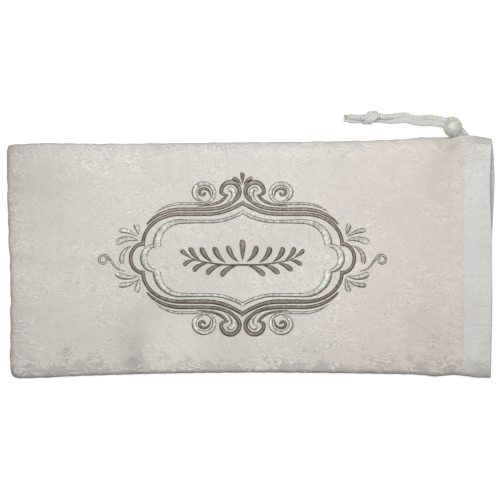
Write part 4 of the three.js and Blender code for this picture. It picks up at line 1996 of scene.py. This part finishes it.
    def bead(self) -> Shape:
        """A ball with a bore, a little longer across the case.

        Its profile, an arc, two rounded lips and the bore's wall, is turned about the bore and then scaled.

        Returns:
            The bead.
        """
        lip_radius = self.bead_bore + self.bead_lip
        tilt = math.acos(lip_radius / self.bead_radius)
        angles = (-math.degrees(tilt), math.degrees(tilt))
        ball = Bow((0.0, 0.0), (self.bead_radius, self.bead_radius), angles, self.ball_points).points()
        top = self.bead_radius * math.sin(tilt)
        bend = np.linspace(0.0, math.pi / 2, self.lip_points + 1)[1:]
        lip = np.stack([
            lip_radius - self.bead_lip * np.sin(bend),
            top - self.bead_lip * (1 - np.cos(bend)),
        ], axis=-1)
        height = np.linspace(1, -1, self.wall_points + 2)[1:-1] * lip[-1, 1]
        wall = np.stack([np.full_like(height, self.bead_bore), height], axis=-1)
        profile = np.concatenate([ball, lip, wall, lip[::-1] * np.array([1.0, -1.0])])
        axis = unit(np.array(self.bead_axis))
        side = unit(np.cross(np.array(UP), axis))
        above = np.cross(axis, side)
        angle = np.linspace(0.0, TURN, self.bead_turns, endpoint=False)[:, None, None]
        spoke = np.cos(angle) * side + np.sin(angle) * above
        points = (profile[None, :, :1] * spoke + profile[None, :, 1:] * axis) * np.array(self.bead_size)
        points = points + np.array(self.bead_centre) + np.array(self.bead_shift)
        around = np.linspace(0.0, 1.0, self.bead_turns + 1)
        places = lattice(around, np.linspace(0.0, 1.0, len(profile) + 1))
        return Shape.on_grid(points, places, close_rows=True, close_columns=True)


@dataclass(frozen=True)
class Studio:
    """Plain floor, soft light and the camera straight above."""

    floor_half: float = 2.5
    floor_drop: float = 0.0002
    view_centre: Pair = (-0.00034, 0.00545)
    view_height: float = 2.0
    view_width: float = 0.4132
    object_height: float = 0.006
    sensor: float = 36.0
    sky: float = 0.145
    key_place: Point = (0.02, 0.19, 0.66)
    key_size: float = 0.7
    key_power: float = 5.02
    side_place: Point = (1.10, 0.30, 0.75)
    side_size: float = 0.5
    side_power: float = 2.2

    def build(self) -> None:
        """Make the floor, the lights and the camera."""
        side = np.array([-self.floor_half, self.floor_half])
        x, y = np.meshgrid(side, side, indexing="ij")
        corners = np.stack([x, y, np.full_like(x, -self.floor_drop)], axis=-1).reshape(-1, 3)
        mesh = bpy.data.meshes.new("floor")
        mesh.from_pydata(corners.tolist(), [], [(0, 2, 3, 1)])
        mesh.materials.append(PaperFloor().build("paper_floor"))
        floor = bpy.data.objects.new("floor", mesh)
        bpy.context.scene.collection.objects.link(floor)
        floor.visible_diffuse = False
        self.light()
        self.camera()

    def light(self) -> None:
        """An even sky, a large soft lamp above and a weaker one from the right."""
        scene = bpy.context.scene
        scene.view_settings.view_transform = "Standard"
        world = bpy.data.worlds.new("soft_sky")
        world.use_nodes = True
        sky = world.node_tree.nodes["Background"]
        sky.inputs["Color"].default_value = WHITE
        sky.inputs["Strength"].default_value = self.sky
        scene.world = world
        for name, place, size, power in (
            ("key", self.key_place, self.key_size, self.key_power),
            ("side", self.side_place, self.side_size, self.side_power),
        ):
            data = bpy.data.lights.new(name, "AREA")
            data.shape = "SQUARE"
            data.size = size
            data.energy = power
            lamp = bpy.data.objects.new(name, data)
            scene.collection.objects.link(lamp)
            lamp.location = place
            lamp.rotation_euler = Vector(place).to_track_quat("Z", "Y").to_euler()

    def camera(self) -> None:
        """A camera straight above, framed so that the case fills the picture as in the photograph."""
        data = bpy.data.cameras.new("above")
        data.sensor_width = self.sensor
        data.lens = self.sensor * (self.view_height - self.object_height) / self.view_width
        camera = bpy.data.objects.new("above", data)
        camera.location = (*self.view_centre, self.view_height)
        bpy.context.scene.collection.objects.link(camera)
        bpy.context.scene.camera = camera


def main() -> None:
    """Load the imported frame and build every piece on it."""
    logging.basicConfig(level=logging.INFO, format="%(name)s: %(message)s")
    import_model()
    Studio().build()
    cord = BraidedCord().build("braided_cord")
    singed = PlainThread(
        body=(0.71, 0.635, 0.55, 1.0),
        shade=(0.56, 0.46, 0.36, 1.0),
    ).build("singed_yarn")
    loose = PlainThread(
        body=(0.72, 0.71, 0.68, 1.0),
        shade=(0.55, 0.54, 0.51, 1.0),
    ).build("loose_yarn")
    Drawstring(cord, singed, loose, PearlBead().build("pearl")).build()
    cloth = CaseCloth()
    front_finish = FiguredCloth(upper_is_right_side=True).build("figured_cloth")
    back_finish = FiguredCloth(upper_is_right_side=False).build("figured_cloth_turned")
    sewing = PlainThread(
        body=(0.67, 0.575, 0.470, 1.0),
        shade=(0.56, 0.475, 0.385, 1.0),
    ).build("sewing_thread")
    edging = PlainThread().build("edge_thread")
    Panels(cloth, front_finish, back_finish, sewing, edging).build()
    # The edge colours are painted shade, the glints painted highlight and the shades painted shade.
    dark = SatinThread(
        body=(0.385, 0.325, 0.254, 1.0),
        edge=(0.052, 0.042, 0.032, 1.0),
        glint=(0.460, 0.397, 0.320, 1.0),
        shade=(0.230, 0.189, 0.147, 1.0),
        gloss=0.34,
        rim=1.18,
        mottle=0.9,
        sweep=0.9,
    ).build("taupe_satin")
    silver = SatinThread(
        body=(0.790, 0.778, 0.678, 1.0),
        edge=(0.080, 0.077, 0.062, 1.0),
        glint=(0.930, 0.920, 0.830, 1.0),
        shade=(0.250, 0.244, 0.202, 1.0),
        gloss=0.30,
        rim=1.0,
        mottle=1.2,
        sweep=1.0,
    ).build("silver_satin")
    ScrollFrame(cloth, dark, silver).build()


if __name__ == "__main__":
    main()
